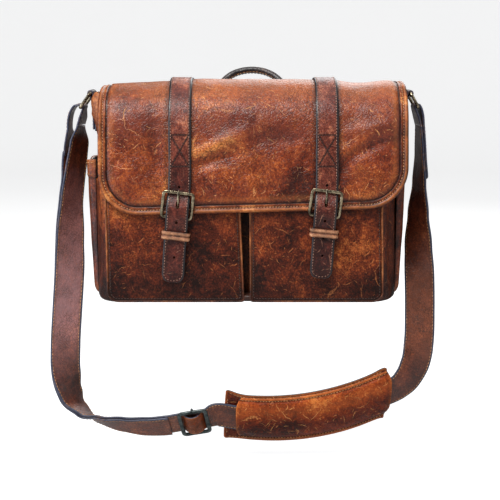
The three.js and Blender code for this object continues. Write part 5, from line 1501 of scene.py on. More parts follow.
def make_front_pocket(side):
    q = FP[side]
    s = q["s"]
    disp = fp_disp(side)
    zo = np.concatenate([[1.0, 1.3, 2.0, 3.2, 5.0, 7.5, 10.5, 14.0], np.linspace(18, POCKET_TOP, 44)])
    R0 = A([fp_ring(side, z, 0.0) for z in zo])
    k = R0.shape[1]
    n_out = len(zo)
    O = disp(R0)
    I = disp(A([fp_ring(side, z, 2.4) for z in zo]))
    I[:, :, 2] = np.maximum(I[:, :, 2], 4.0)
    # one closed body: outer wall, rim, inner wall; walls end in a thin edge on the front panel; floor sheets at the bottom
    rim1, rim2 = O[-1].copy(), lerp(O[-1], I[-1], 0.5)
    rim1[:, 2] += 0.5
    rim2[:, 2] += 0.9
    rows = np.concatenate([O, rim1[None], rim2[None], I[::-1]])
    V = rows.reshape(-1, 3)
    m = len(rows)
    idx = np.arange(m * k).reshape(m, k)
    F, fm = [], []
    for i in range(m - 1):
        for j in range(k - 1):
            F.append((idx[i, j], idx[i, j + 1], idx[i + 1, j + 1], idx[i + 1, j]))
            fm.append(1 if i > n_out + 1 else 0)
    # side ends (against the front panel)
    for i in range(n_out):
        a, b = i, m - 1 - i
        if i < n_out - 1:
            F.append((idx[a, 0], idx[a + 1, 0], idx[b - 1, 0], idx[b, 0])); fm.append(0)
            F.append((idx[a + 1, k - 1], idx[a, k - 1], idx[b, k - 1], idx[b - 1, k - 1])); fm.append(0)
    F.append((idx[n_out - 1, 0], idx[n_out, 0], idx[n_out + 1, 0], idx[n_out + 2, 0])); fm.append(0)
    F.append((idx[n_out + 2, k - 1], idx[n_out + 1, k - 1], idx[n_out, k - 1], idx[n_out - 1, k - 1])); fm.append(0)
    # floor: outer underside and inner floor as strips between the two halves of each ring
    F.append(tuple(idx[0][::-1])); fm.append(0)
    F.append(tuple(idx[m - 1])); fm.append(1)
    F.append((idx[0, 0], idx[m - 1, 0], idx[m - 1, k - 1], idx[0, k - 1])); fm.append(0)
    F = outward(V, F)
    x, y, z = V[:, 0], V[:, 1], V[:, 2]
    xo = lerp(q["ob"], q["ot"], np.clip(z / POCKET_TOP, 0, 1)) - np.where(z < 13, 13 - np.sqrt(np.clip(169 - (13 - z) ** 2, 0, None)), 0)
    xi = lerp(q["ib"], q["it"], np.clip(z / POCKET_TOP, 0, 1))
    e = np.minimum(xo - s * x, s * x - xi)
    e = np.minimum(e, z - 1.0)
    front = y < -55
    # painted shade: darker low, towards the body and in the stitch and seam grooves; a painted shadow of the flap
    # across the top of the front
    dark = 0.35 * sstep(30, 2, z) * (~front) + front * (0.6 * np.exp(-((e - 4.6) / 1.0) ** 2) + 0.35 * np.exp(-((e - 2.0) / 1.0) ** 2)) + 0.5 * sstep(-52, -30, y) + 0.42 * sstep(50, 2, z) + 0.3 * sstep(112, 136, z) * front
    wear = front * (0.16 * np.exp(-((e - 2.8) / 1.2) ** 2)) + 0.5 * (z > POCKET_TOP - 1.5)
    tone = 0
    for cx_, cz_, wx_, wz_, a_ in ((-138, 78, 17, 26, 0.20), (-112, 100, 14, 18, 0.22), (-30, 96, 22, 30, 0.10), (-150, 40, 16, 20, 0.12), (-60, 60, 18, 22, -0.08), (20, 60, 12, 40, 0.12), (62, 104, 14, 22, 0.16),
                                    (128, 60, 20, 26, 0.10), (140, 110, 16, 22, 0.12), (80, 40, 26, 16, -0.08), (-100, 22, 60, 14, -0.10), (90, 18, 70, 12, -0.10)):
        tone = tone + a_ * np.exp(-((x - cx_) / wx_) ** 2 - ((z - cz_) / wz_) ** 2)
    # painted light from the upper left: the left pocket lighter high up, the right pocket darker low
    tone = tone * (y < -52) + (0.24 if s < 0 else 0.0) * sstep(60, 115, z) * (y < -52) - (0.16 if s > 0 else 0.0) * sstep(80, 20, z) * (y < -52)
    uvm = np.stack([x + 0.8 * y * (~front), z], -1)
    o = mesh_object("front_pocket_" + side, V, F, [M["pocket"], M["suede"]], fmat=fm, uvm=uvm, wear=np.clip(wear, 0, 1), dark=np.clip(dark, 0, 1), tone=tone)
    finish_piece(o, "bag", ("front_pocket_panel_" + side, "front_pocket_gusset_" + side))
    # turned seam round the front face, and its stitches
    def edge_line(k_in, lift, top=POCKET_TOP - 1.0):
        pts = []
        zs = np.linspace(top, 14, 46)
        for zz in zs:
            f = zz / POCKET_TOP
            pts.append((lerp(q["ob"], q["ot"], f) - k_in, zz))
        for a in np.linspace(0, math.pi / 2, 10)[1:]:
            r = 13.0 - k_in
            pts.append((q["ob"] - 13.0 + r * math.cos(a), 14.0 - r * math.sin(a)))
        for xx in np.linspace(q["ob"] - 15, q["ib"] + 4 + k_in, 44)[1:]:
            pts.append((xx, 1.0 + k_in))
        for a in np.linspace(math.pi / 2, 0, 6)[1:]:
            r = 3.2
            pts.append((q["ib"] + 3.2 + k_in - r * math.cos(a), 4.2 + k_in - r * math.sin(a)))
        for zz in np.linspace(7 + k_in, top, 46):
            f = zz / POCKET_TOP
            pts.append((lerp(q["ib"], q["it"], f) + k_in, zz))
        pts = A(pts)
        P = np.stack([s * pts[:, 0], np.full(len(pts), Y_FRONT), pts[:, 1]], -1)
        P = disp(P)
        P[:, 1] -= lift
        return P
    path = resample(edge_line(0.9, -0.9), 2.6)
    prof = square_profile(12, 2.2)
    wv = lambda V: np.clip(0.38 + 0.6 * noise3(V, 1 / 14.0, 6), 0, 1) * sstep(10, 40, V[:, 2])
    # painted shade: the piping darker towards the bottom
    painted_shade = lambda V: 0.55 * sstep(26, 6, V[:, 2])
    tube("front_pocket_piping_" + side, path, 1.15, [M["roll"]], sides=12, body="bag", ref=(0, -1, 0), wearf=wv, darkf=painted_shade)
    th = Threads()
    P = resample(edge_line(4.6, 0.2, POCKET_TOP - 8), 1.5)
    th.line(P, (0, -1, 0), 3.6, 2.3, 0.42)
    P = edge_line(0, 0)
    zz = POCKET_TOP - 7
    xs = np.linspace(q["it"] + 6, q["ot"] - 6, 60)
    H = disp(np.stack([s * xs, np.full(60, Y_FRONT), np.full(60, zz)], -1))
    H[:, 1] -= 0.2
    th.line(H, (0, -1, 0), 4.2, 3.0, 0.38)
    th.make("front_pocket_stitches_" + side, M["thread"], "bag", "tan_leather")


# ------------------------------------------------------------------ side pockets
def make_side_pocket(side):
    s = -1 if side == "left" else 1
    def ring(z, k):
        x0 = BODY_HW - 0.2 - 9.0 * max(1 - z / 17.0, 0) ** 2
        X = 199.3 - k - 6.5 * max(1 - z / 165.0, 0) ** 1.3
        d = max(12.0 - (z - 2.5), 0)
        tuck = 12 - math.sqrt(max(144 - d * d, 0)) if d > 0 else 0
        X -= tuck * 0.7
        r = poly_ring([(x0, -20 + k + tuck * .4), (lerp(x0, X, .72), -17.5 + k + tuck * .4), (X, -8 + k + tuck * .4), (X, 43 - k - tuck * .4), (lerp(x0, X, .72), 52.5 - k - tuck * .4), (x0, 55 - k - tuck * .4)],
                      [1, 3, 5, 5, 3, 1], [4, 4, 26, 4, 4, 1], arc_n=5, closed=False)
        r[:, 0] *= s
        return np.hstack([r, np.full((len(r), 1), z)])
    def disp(P):
        x, y, z = P[..., 0], P[..., 1], P[..., 2]
        o = P.copy()
        face = sstep(190, 197, np.abs(x))
        belly = 1.6 * np.sin(math.pi * np.clip((y + 8) / 50.0, 0, 1)) * np.sin(math.pi * np.clip((z - 8) / 150.0, 0, 1)) - 1.2 * np.exp(-((y - 17) / 7.0) ** 2) * sstep(60, 150, z)
        o[..., 0] = x + s * face * (belly + 0.7 * fbm(P, 1 / 34.0, 2, 97 + s))
        o[..., 2] = z - 2.5 * np.sin(math.pi * np.clip((y + 16) / 66.0, 0, 1)) * sstep(140, 172, z)
        return o
    zo = np.concatenate([[2.5, 3.0, 4.0, 5.6, 8.0, 11.0, 14.5, 18.0], np.linspace(22, 150, 33), [151.2, 152.4, 154, 157, 161, 165, 169, 171, 172]])
    lift = lambda z: 0.9 * float(sstep(150.6, 152.6, z))
    O = disp(A([ring(z, -lift(z)) for z in zo]))
    I = disp(A([ring(z, 2.2) for z in zo]))
    I[:, :, 2] = np.maximum(I[:, :, 2], 6.5)
    k, n = O.shape[1], len(zo)
    rim1, rim2 = O[-1].copy(), lerp(O[-1], I[-1], 0.5)
    rim1[:, 2] += 0.6; rim2[:, 2] += 1.0
    rows = np.concatenate([O, rim1[None], rim2[None], I[::-1]])
    m = len(rows)
    V = rows.reshape(-1, 3)
    idx = np.arange(m * k).reshape(m, k)
    F, fm = [], []
    for i in range(m - 1):
        for j in range(k - 1):
            F.append((idx[i, j], idx[i, j + 1], idx[i + 1, j + 1], idx[i + 1, j])); fm.append(1 if i > n + 1 else 0)
    for i in range(n - 1):
        a, b = i, m - 1 - i
        F.append((idx[a, 0], idx[a + 1, 0], idx[b - 1, 0], idx[b, 0])); fm.append(0)
        F.append((idx[a + 1, k - 1], idx[a, k - 1], idx[b, k - 1], idx[b - 1, k - 1])); fm.append(0)
    F.append((idx[n - 1, 0], idx[n, 0], idx[n + 1, 0], idx[n + 2, 0])); fm.append(0)
    F.append((idx[n + 2, k - 1], idx[n + 1, k - 1], idx[n, k - 1], idx[n - 1, k - 1])); fm.append(0)
    F.append(tuple(idx[0][::-1])); fm.append(0)
    F.append(tuple(idx[m - 1])); fm.append(1)
    F.append((idx[0, 0], idx[m - 1, 0], idx[m - 1, k - 1], idx[0, k - 1])); fm.append(0)
    F = outward(V, F)
    x, y, z = V[:, 0], V[:, 1], V[:, 2]
    rim = (z > 168)
    # painted shade under the edge of the top band, darker low, and where the pocket meets the body
    dark = 0.7 * np.exp(-((z - 150.3) / 0.9) ** 2) + 0.15 * sstep(30, 8, z) + 0.55 * sstep(190.0, 187.2, np.abs(x)) * sstep(12, 24, z)
    wear = 0.8 * np.exp(-((z - 171) / 2.2) ** 2) + 0.3 * np.exp(-((np.abs(x) - 197) / 2.0) ** 2) * ((y < -4) | (y > 38)) + 0.2 * sstep(150, 172, z) + 0.42 * np.exp(-((z - 9) / 9.0) ** 2)
    o = mesh_object("side_pocket_hide_" + side, V, F, [M["side"], M["suede"]], fmat=fm, uvm=np.stack([y + x * s * 0.7, z], -1), wear=np.clip(wear, 0, 1), dark=np.clip(dark, 0, 1), tone=0.02)
    finish_piece(o, "bag", ("side_pocket_" + side,))
    th = Threads()
    def wall_row(z, k_off):
        P = disp(A([ring(z, -k_off)]))[0]
        T = unit(np.gradient(P, axis=0))
        N = np.stack([T[:, 1], -T[:, 0], T[:, 0] * 0], -1)
        N = N * np.sign((N * A([s, 0, 0])).sum(1).mean())
        # outward is away from the pocket's middle
        c = A([s * 188.0, 17.5, z])
        sg = np.sign(((P - c) * N).sum(1))
        return P[2:-2], (N * sg[:, None])[2:-2]
    for z in (154.5, 169.0):
        P, N = wall_row(z, 1.05)
        th.line(P, N, 4.2, 3.0, 0.40)
    th.make("side_pocket_stitches_" + side, M["thread_tan"], "bag", "tan_leather")


# ------------------------------------------------------------------ chapes, rings, handle
RINGS = {"left": ((-194.5, 253.8), (-207.0, 236.4), (-209.2, 214.0)), "right": ((203.9, 253.8), (213.6, 236.8), (217.2, 214.0))}


def xz_ribbon(name, pts, y, hw, t, mats, body, nodes=(), taper=None, seed=0.0, k=10, step=1.5, crown=0.0, blend=None, front=None, er=None):
    line = resample(catmull(pts, k), step)
    C = np.stack([line[:, 0], np.full(len(line), float(y)), line[:, 1]], -1)
    if front is not None:
        C[:, 1] = np.interp(np.linspace(0, 1, len(C)), np.linspace(0, 1, len(front)), front)
    T = unit(np.gradient(C, axis=0))
    Y = A([0, -1.0, 0])
    W = unit(Y[None] - T * (T @ Y)[:, None])
    N = np.cross(T, W)
    o = ribbon(name, C, W, N, hw, t, mats, cols=8, seed=seed, taper=None if taper is None else taper(run_of(C)), crown=crown, er=er)
    finish_piece(o, body, nodes, blend)
    return C, W, N


def make_chape(side):
    (tx, tz), (lx, lz), leg = RINGS[side]
    s = -1 if side == "left" else 1
    w = s * 188.7
    r = 3.25
    far = abs(tx) - 188.7
    pts = [(w, 207), (w, 222), (w + s * 0.2, 236), (lerp(w, tx, 0.35), 246.5)]
    # round the bar from the inside over the top and down outside
    for a in (200, 150, 100, 50, 0, -45, -80):
        th = rad(a)
        pts.append((tx + s * r * math.cos(th), tz + r * math.sin(th)))
    pts += [(lerp(w + s * 2.6, tx, 0.38), 243.0), (w + s * 2.75, 234), (w + s * 2.6, 222), (w + s * 2.55, 209)]
    C, W, N = xz_ribbon("ring_chape_leather_" + side, pts, 15, 16.5, 2.2, [M["dark"], M["edge"]], "bag", ("ring_chape_" + side,), seed=s * 9.0, er=1.0)
    th = Threads()
    run = run_of(C)
    L = run[-1]
    sel = C[:, 2] < 236
    sel &= run > L / 2
    out = N * (1.0 if (N[sel][-1] @ A([s, 0, 0])) > 0 else -1.0)
    P = C + out * 1.15
    for q in (-13.6, 13.6):
        th.line((P + W * q)[sel], out[sel], 4.0, 2.9, 0.40)
    e = P[run < L - 3][-1]
    wv = W[-1]
    th.line([e + wv * v for v in (-13.6, 0, 13.6)], out[-1], 4.0, 2.9, 0.40)
    top = P[sel][0]
    th.line([top + wv * v for v in (-13.6, 0, 13.6)], out[sel][0], 4.0, 2.9, 0.40)
    th.make("ring_chape_stitches_" + side, M["thread_tan"], "bag", "tan_leather")


def make_ring(side):
    (tx, tz), (lx, lz), leg = RINGS[side]
    a, b = A([tx, 15.0, tz]), A([lx, 15.0, lz])
    d = b - a
    ln = np.linalg.norm(d)
    d = d / ln
    loop = rounded_loop(22.0, 0.0, ln, 3.4, 6)
    loop = resample(loop, 1.6, closed=True)
    P = a + d * loop[:, 1:] + A([0, 1.0, 0]) * loop[:, :1]
    n = unit(np.cross(d, [0, 1.0, 0]))
    tube("strap_ring_" + side, P, 1.95, [M["brass"]], closed=True, profile=square_profile(14, 2.4), body="ring_" + side, nodes=("ring_" + side,), ref=tuple(n),
         wearf=bar_wear(1.0, 30))


def make_handle():
    lift = A([0, 97.5 - 71.2, 281.6 - 239.0])
    pts = [(7 - 46, 70.2, 226), (7 - 46, 70.9, 232.5)]
    n = 30
    for k in range(n + 1):
        a = math.pi * (1 - k / n)
        cx = math.cos(a) * 46
        h = math.sin(a) ** 0.8 if 0 < k < n else 0.0
        pts.append(tuple(A([7 + cx, 71.2, 239.0]) + lift * h))
    pts += [(7 + 46, 70.9, 232.5), (7 + 46, 70.2, 226)]
    P = resample(catmull(pts, 8), 2.0)
    run = run_of(P)
    L = run[-1]
    e = np.minimum(run, L - run)
    r = 4.5 - 1.2 * sstep(26, 4, e)
    T, S, U = frames(P, (0, 1, 0))
    a = (np.arange(22) + 0.5) / 22 * 2 * math.pi
    # a rolled strap: a small flat seam along its underside
    cen = P.mean(0)
    rings = []
    wv, dk = [], []
    for i in range(len(P)):
        inward = unit(A([7, 80, 236]) - P[i])
        inward = unit(inward - T[i] * (inward @ T[i]))
        b = np.cross(T[i], inward)
        seam = np.exp(-((a - math.pi) / 0.5) ** 2)
        rad_ = r[i] * (1 - 0.10 * seam) + 0.12 * noise3(A([[run[i], q, 0] for q in a * 4]), 1 / 7.0, 14)
        flat = 1.0 - 0.35 * sstep(22, 2, e[i])
        rings.append(P[i] - inward[None] * (np.cos(a) * rad_)[:, None] * 1.0 + b[None] * (np.sin(a) * rad_)[:, None] * flat)
        # lighter along the handle's outer crest: rub and painted highlight; painted shade in the creases of the
        # underside seam
        wv.append(0.35 * np.exp(-(np.minimum(a, 2 * math.pi - a) / 0.8) ** 2))
        dk.append(0.5 * np.exp(-((np.abs(a - math.pi) - 0.42) / 0.14) ** 2))
    V, F, seg, row = grid_skin(A(rings))
    F = outward(V, F)
    uvm = np.stack([np.tile(a * 5, len(P)), np.repeat(run, 22)], -1)
    o = mesh_object("carry_handle", V, F, [M["handle"]], uvm=uvm, wear=np.ravel(wv), dark=np.ravel(dk), tone=0.02)
    bl = ("bag", "handle", (7, 71.0, 233.0), (7, 72.5, 246.0))
    finish_piece(o, None, ("handle",), bl)
    th = Threads()
    for sg in (-1, 1):
        line, nn = [], []
        for i in range(8, len(P) - 8):
            inward = unit(A([7, 80, 236]) - P[i])
            inward = unit(inward - T[i] * (inward @ T[i]))
            b = np.cross(T[i], inward)
            aa = math.pi + sg * 0.62
            d = -inward * math.cos(aa) + b * math.sin(aa)
            line.append(P[i] + d * (r[i] + 0.05)); nn.append(d)
        th.line(A(line), A(nn), 4.2, 3.0, 0.38)
    th.make("carry_handle_stitches", M["thread_tan"], blend=bl, slot="tan_leather")
    for side, sg in (("left", -1), ("right", 1)):
        cx = sg * 46.0 + 7
        outline = poly_ring([(cx - 13, 196), (cx + 13, 196), (cx + 11, 236), (cx - 11, 236)], [8, 8, 3, 3], [6, 8, 5, 8], arc_n=7)
        c = outline.mean(0)
        rings = []
        for q, y in ((0.05, 65.35), (0.97, 65.35), (1.0, 65.9), (1.0, 67.4), (0.965, 68.3), (0.88, 68.55), (0.82, 68.25), (0.76, 68.7), (0.5, 69.6), (0.25, 70.0), (0.05, 70.1)):
            o2 = c + (outline - c) * q
            bump = 0
            if y > 68.6:
                bump = 1.6 * np.exp(-((o2[:, 0] - cx) / 6.0) ** 2) * sstep(206, 228, o2[:, 1])
            rings.append(np.stack([o2[:, 0], y + bump + 0 * o2[:, 0], o2[:, 1]], -1))
        V, F, seg, row = grid_skin(A(rings))
        F = outward(V, F)
        q = np.linalg.norm((V[:, [0, 2]] - c) / A([12, 20]), axis=1)
        wear = 0.5 * np.repeat([0, .4, .6, 1, 1, .4, 0, .1, .2, .2, .2], len(outline))
        # painted shade in the dip where the stitches lie
        dark = np.repeat([0, 0, 0, 0, 0, .2, .5, .2, 0, 0, 0], len(outline))
        o = mesh_object("handle_patch_leather_" + side, V, F, [M["dark"]], uvm=np.stack([V[:, 0], V[:, 2]], -1), wear=wear, dark=dark)
        finish_piece(o, "bag", ("handle_patch_" + side,))
        th = Threads()
        l2 = c + (outline - c) * 0.82
        l2 = np.vstack([l2, l2[:1]])
        th.line(np.stack([l2[:, 0], np.full(len(l2), 68.4), l2[:, 1]], -1), (0, 1, 0), 3.8, 2.8, 0.40)
        th.make("handle_patch_stitches_" + side, M["thread_tan"], "bag", "tan_leather")


def make_gap_tongue():
    """The base leather turns up between the two front pockets."""
    line = catmull([(-27.4, 6.5), (-31, 2.4), (-44, 1.7), (-56, 1.9), (-60.0, 3.6), (-61.0, 7.0), (-58.5, 9.0), (-50, 9.4)], 6)
    line = resample(line, 1.5)
    C = np.stack([np.full(len(line), 0.95), line[:, 0], line[:, 1]], -1)
    T = unit(np.gradient(C, axis=0))
    W = np.tile(A([1.0, 0, 0]), (len(C), 1))
    o = ribbon("base_tongue", C, W, unit(np.cross(T, W)), 5.2, 1.8, [M["dark"], M["dark"]], cols=4, seed=3.0)
    finish_piece(o, "bag")


def make_body_stitches():
    th = Threads()
    th2 = Threads()
    # upright seams of the back panel and the sewn base edge
    for s in (-1, 1):
        zs = np.linspace(16, 205, 90)
        P = A([[s * 170.5, Y_BACK - 0.4, z] for z in zs])
        P = body_disp(P)
        P[:, 1] += 0.15
        th.line(P, (0, 1, 0), 4.2, 3.0, 0.38)
    xs = np.linspace(-168, 168, 90)
    P = body_disp(A([[x, Y_BACK - 0.4, 15.5] for x in xs]))
    P[:, 1] += 0.15
    th.line(P, (0, 1, 0), 4.2, 3.0, 0.38)
    th.make("body_stitches", M["thread"], "bag", "tan_leather")


# ------------------------------------------------------------------ shoulder strap
PAD_C, PAD_R, PAD_Y, PAD_TILT, SLIDER_TILT = (25.5, 195.2), 360.0, -5.0, -68.0, -52.0
SH_HW, SH_STEP = 19.0, 3.3


def arc_point(deg, y=PAD_Y):
    return (PAD_C[0] + PAD_R * math.sin(rad(deg)), y, PAD_C[1] - PAD_R * math.cos(rad(deg)))


STRAP_PATH = [
    (-209.2, 15, 214, 6), (-211.8, 13.5, 190, 30), (-217, 11, 155, 36), (-221.8, 8.5, 120, 40), (-224.6, 5, 70, 60), (-226, 2, 30, 76),
    (-229.5, -1, -20, 86), (-232.5, -3, -65, 84), (-232.5, -4.5, -100, 70), (-226.5, -5, -130, 40), (-213, -5, -150.5, 8), (-191, -5, -163.5, -24),
    (-160, -5, -170.3, -40), (-130, -5, -173.2, -49), (-104, -5, -172, SLIDER_TILT), (-86, -5, -169, SLIDER_TILT), (-68, -5, -166, SLIDER_TILT), (-50, -5, -163, SLIDER_TILT - 3),
    *[(*arc_point(d), PAD_TILT) for d in (-10.2, -6, -1, 4, 9, 14, 19, 24)], (*arc_point(28.2), PAD_TILT - 2),
    (207.5, -4.5, -110, -77), (217.5, -4, -88, -88), (221.2, -3, -60, -99), (221.6, -1, -20, -100), (220.8, 2, 20, -100), (219, 6, 60, -120), (218.4, 10, 100, -144),
    (219.2, 13, 140, -162), (218.9, 14.5, 180, -172), (217.2, 15, 214, -177)]
NSEG = len(STRAP_PATH) - 1
_K = 40
_SP = catmull([p[:3] for p in STRAP_PATH], _K)


def strap_frame(u):
    """Position, run, width direction and normal of the shoulder strap; u counts control points."""
    u = np.clip(np.atleast_1d(A(u)), 0, NSEG)
    g = u * _K
    i = np.clip(np.floor(g).astype(int), 0, len(_SP) - 2)
    f = (g - i)[:, None]
    p = _SP[i] * (1 - f) + _SP[i + 1] * f
    lo, hi = np.clip(g - 1.5, 0, len(_SP) - 1), np.clip(g + 1.5, 0, len(_SP) - 1)
    idx = np.arange(len(_SP))
    at = lambda q: np.stack([np.interp(q, idx, _SP[:, c]) for c in range(3)], -1)
    tan = unit(at(hi) - at(lo))
    k = np.clip(np.floor(u).astype(int), 0, NSEG - 1)
    w = u - k
    w = w * w * (3 - 2 * w)
    tv = A([q[3] for q in STRAP_PATH])
    turn = np.radians(tv[k] * (1 - w) + tv[k + 1] * w)[:, None]
    out = unit(np.stack([tan[:, 2], tan[:, 0] * 0, -tan[:, 0]], -1))
    front = A([0, -1.0, 0])[None] - tan * (-tan[:, 1:2])
    front = unit(front)
    width = front * np.cos(turn) + out * np.sin(turn)
    normal = out * np.cos(turn) - front * np.sin(turn)
    return p, tan, width, normal


def u_grid(u0, u1, step=2.6):
    us = np.linspace(u0, u1, 4000)
    p = strap_frame(us)[0]
    r = run_of(p)
    n = max(int(r[-1] / step), 2)
    return np.interp(np.linspace(0, r[-1], n + 1), r, us)


def strap_stitches(th, C, W, N, hw, half_t, sides=(1,), pitch=4.2, skip=4.0, inset=2.7):
    run = run_of(C)
    keep = (run > skip) & (run < run[-1] - skip)
    for f in sides:
        for e in (-1, 1):
            th.line((C + W * e * (hw - inset) + N * f * half_t)[keep], N[keep] * f, pitch, 3.0, 0.40)


def make_shoulder_strap():
    us = u_grid(0.0, NSEG)
    C, T, W, N = strap_frame(us)
    run = run_of(C)
    # hide gives: slight waves across and along
    wob = noise3(np.stack([run, run * 0, run * 0], -1), 1 / 45.0, 61)[:, None] * 0.35
    o = ribbon("shoulder_strap_long", C + N * (wob * 0.3), W, N, SH_HW, 2.7, [M["shstrap"], M["edge"]], cols=12, crown=0.25, seed=120.0, wear_amp=0.5, er=1.1)
    finish_piece(o, "shoulder_strap", ("shoulder_strap",))
    th = Threads()
    strap_stitches(th, C, W, N, SH_HW, 1.42, sides=(1, -1))
    th.make("shoulder_strap_stitches", M["thread_tan"], "shoulder_strap", "shoulder_strap_leather")
    # doubled length from the ring to the slider
    us = u_grid(1.35, 14.25)
    C, T, W, N = strap_frame(us)
    lift = SH_STEP + 5.5 * sstep(2.6, 1.35, us)
    C2 = C + N * lift[:, None]
    o = ribbon("shoulder_strap_return", C2, W, N, SH_HW - 0.15, 2.6, [M["shstrap"], M["edge"]], cols=12, crown=0.3, seed=480.0, wear_amp=0.5, er=1.05)
    finish_piece(o, "shoulder_strap", ("strap_return",))
    th = Threads()
    strap_stitches(th, C2, W, N, SH_HW, 1.42, sides=(1,))
    th.make("shoulder_strap_return_stitches", M["thread_tan"], "shoulder_strap", "shoulder_strap_leather")


def ring_blend(side):
    (tx, tz), (lx, lz), leg = RINGS[side]
    return ("shoulder_strap", "ring_" + side, (lx, 15, lz - 30), (lx, 15, lz - 5))


def loop_ribbon(name, P, Wd, hw, t, seed, nodes, blend):
    C = resample(catmull(P, 12), 1.6)
    f = np.linspace(0, 1, len(C))
    T = unit(np.gradient(C, axis=0))
    Wd = A(Wd)
    w = np.stack([np.interp(f, np.linspace(0, 1, len(Wd)), Wd[:, i]) for i in range(3)], -1)
    W = unit(w - T * (T * w).sum(1, keepdims=True))
    N = np.cross(T, W)
    o = ribbon(name, C, W, N, hw, t, [M["shstrap"], M["edge"]], cols=10, seed=seed, er=1.0)
    finish_piece(o, "shoulder_strap", nodes, blend)
    return C, W, N


def make_strap_loops():
    # left: from the inner layer up round the ring's lower bar and down as the outer layer
    (tx, tz), (lx, lz), leg = RINGS["left"]
    p0, t0, w0, n0 = strap_frame([0.0])
    p1, t1, w1, n1 = strap_frame([1.35])
    r = 3.45
    pts = [tuple(p0[0] + A([0.2, 0, 0.5])), (-206.3, 15, 224)]
    for a in (-40, 0, 45, 90, 130):
        th = rad(a)
        pts.append((lx + r * math.cos(th), 15, lz + r * math.sin(th)))
    e = p1[0] + n1[0] * (SH_STEP + 5.5)
    e2, _, _, _ = strap_frame([1.0])
    pts += [(-214.5, 15.2, 238.5), (-220.0, 15.2, 231), (-223.0, 15.0, 219), (-223.3, 14.6, 205), tuple(lerp(A([-223.0, 14, 196]), e, 0.45)), tuple(e + A([-0.05, 0, 1.2]))]
    Wd = [w0[0]] * 2 + [A([0, -1.0, 0])] * 6 + [unit(A([0, -1.0, 0]) * 0.7 + w1[0] * 0.3), unit(A([0, -1, 0]) * 0.35 + w1[0] * 0.65), w1[0]]
    C, W, N = loop_ribbon("shoulder_strap_turn_left", pts, Wd, SH_HW - 0.2, 2.6, 300.0, ("strap_loop_left",), ring_blend("left"))
    th = Threads()
    sg = 1.0 if N[-1] @ A([-1.0, 0, 0]) > 0 else -1.0
    run = run_of(C)
    k = (run > run[-1] * 0.45)
    for e_ in (-1, 1):
        th.line((C + W * e_ * (SH_HW - 2.7) + N * sg * 1.4)[k], (N * sg)[k], 4.2, 3.0, 0.40)
    th.make("shoulder_strap_turn_stitches_left", M["thread_tan"], blend=ring_blend("left"), slot="shoulder_strap_leather")
    # right: the strap's end folded over the ring and sewn down
    (tx, tz), (lx, lz), leg = RINGS["right"]
    pe, te, we, ne = strap_frame([NSEG])
    pb, tb, wb, nb = strap_frame(np.linspace(NSEG - 1.0, NSEG - 1.85, 5))
    we, wb, nb = -we, -wb, -nb
    pts = [tuple(pe[0] + A([-0.2, 0, -0.5])), (214.2, 15, 224)]
    # the outward side here is +x
    for a in (215, 170, 120, 70, 20):
        th = rad(a)
        pts.append((lx + r * math.cos(th), 15, lz + r * math.sin(th)))
    out = 3.15
    pts += [(219.4, 15, 227.5), (220.6, 15, 214)]
    for p, n in zip(pb, nb):
        pts.append(tuple(p + n * out))
    Wd = [we[0]] * 2 + [A([0, -1.0, 0])] * 6 + [we[0]] + list(wb)
    C = resample(catmull(pts, 12), 1.6)
    f = run_of(C) / run_of(C)[-1]
    rp = run_of(A(pts)) / run_of(A(pts))[-1]
    Wd = A([we[0]] * 2 + [A([0, -1.0, 0])] * 5 + [we[0]] * 2 + list(wb))
    w = np.stack([np.interp(f, rp, Wd[:, i]) for i in range(3)], -1)
    T = unit(np.gradient(C, axis=0))
    W = unit(w - T * (T * w).sum(1, keepdims=True))
    N = np.cross(T, W)
    run = run_of(C)
    L = run[-1]
    d = L - run
    taper = np.where(d < 5, 0.72 + 0.28 * np.sqrt(np.clip(1 - ((5 - d) / 5) ** 2, 0, 1)), 1.0)
    o = ribbon("shoulder_strap_end_right", C, W, N, SH_HW - 0.2, 2.6, [M["shstrap"], M["edge"]], cols=10, seed=700.0, er=1.0, taper=taper)
    finish_piece(o, "shoulder_strap", ("strap_loop_right", "strap_end_right"), ring_blend("right"))
    th = Threads()
    sg = 1.0 if N[len(N) * 3 // 4] @ A([1.0, 0, 0]) > 0 else -1.0
    k = (C[:, 2] < 214) & (d > 4)
    k[: len(k) // 4] = False
    for e_ in (-1, 1):
        th.line((C + W * e_ * (SH_HW - 2.9) + N * sg * 1.4)[k], (N * sg)[k], 4.2, 3.0, 0.42)
    i = int(np.argmin(np.abs(d - 4)))
    th.line([C[i] + W[i] * q + N[i] * sg * 1.4 for q in (-SH_HW + 3, 0, SH_HW - 3)], N[i] * sg, 4.0, 2.9, 0.42)
    th.make("shoulder_strap_end_stitches_right", M["thread_tan"], blend=ring_blend("right"), slot="shoulder_strap_leather")


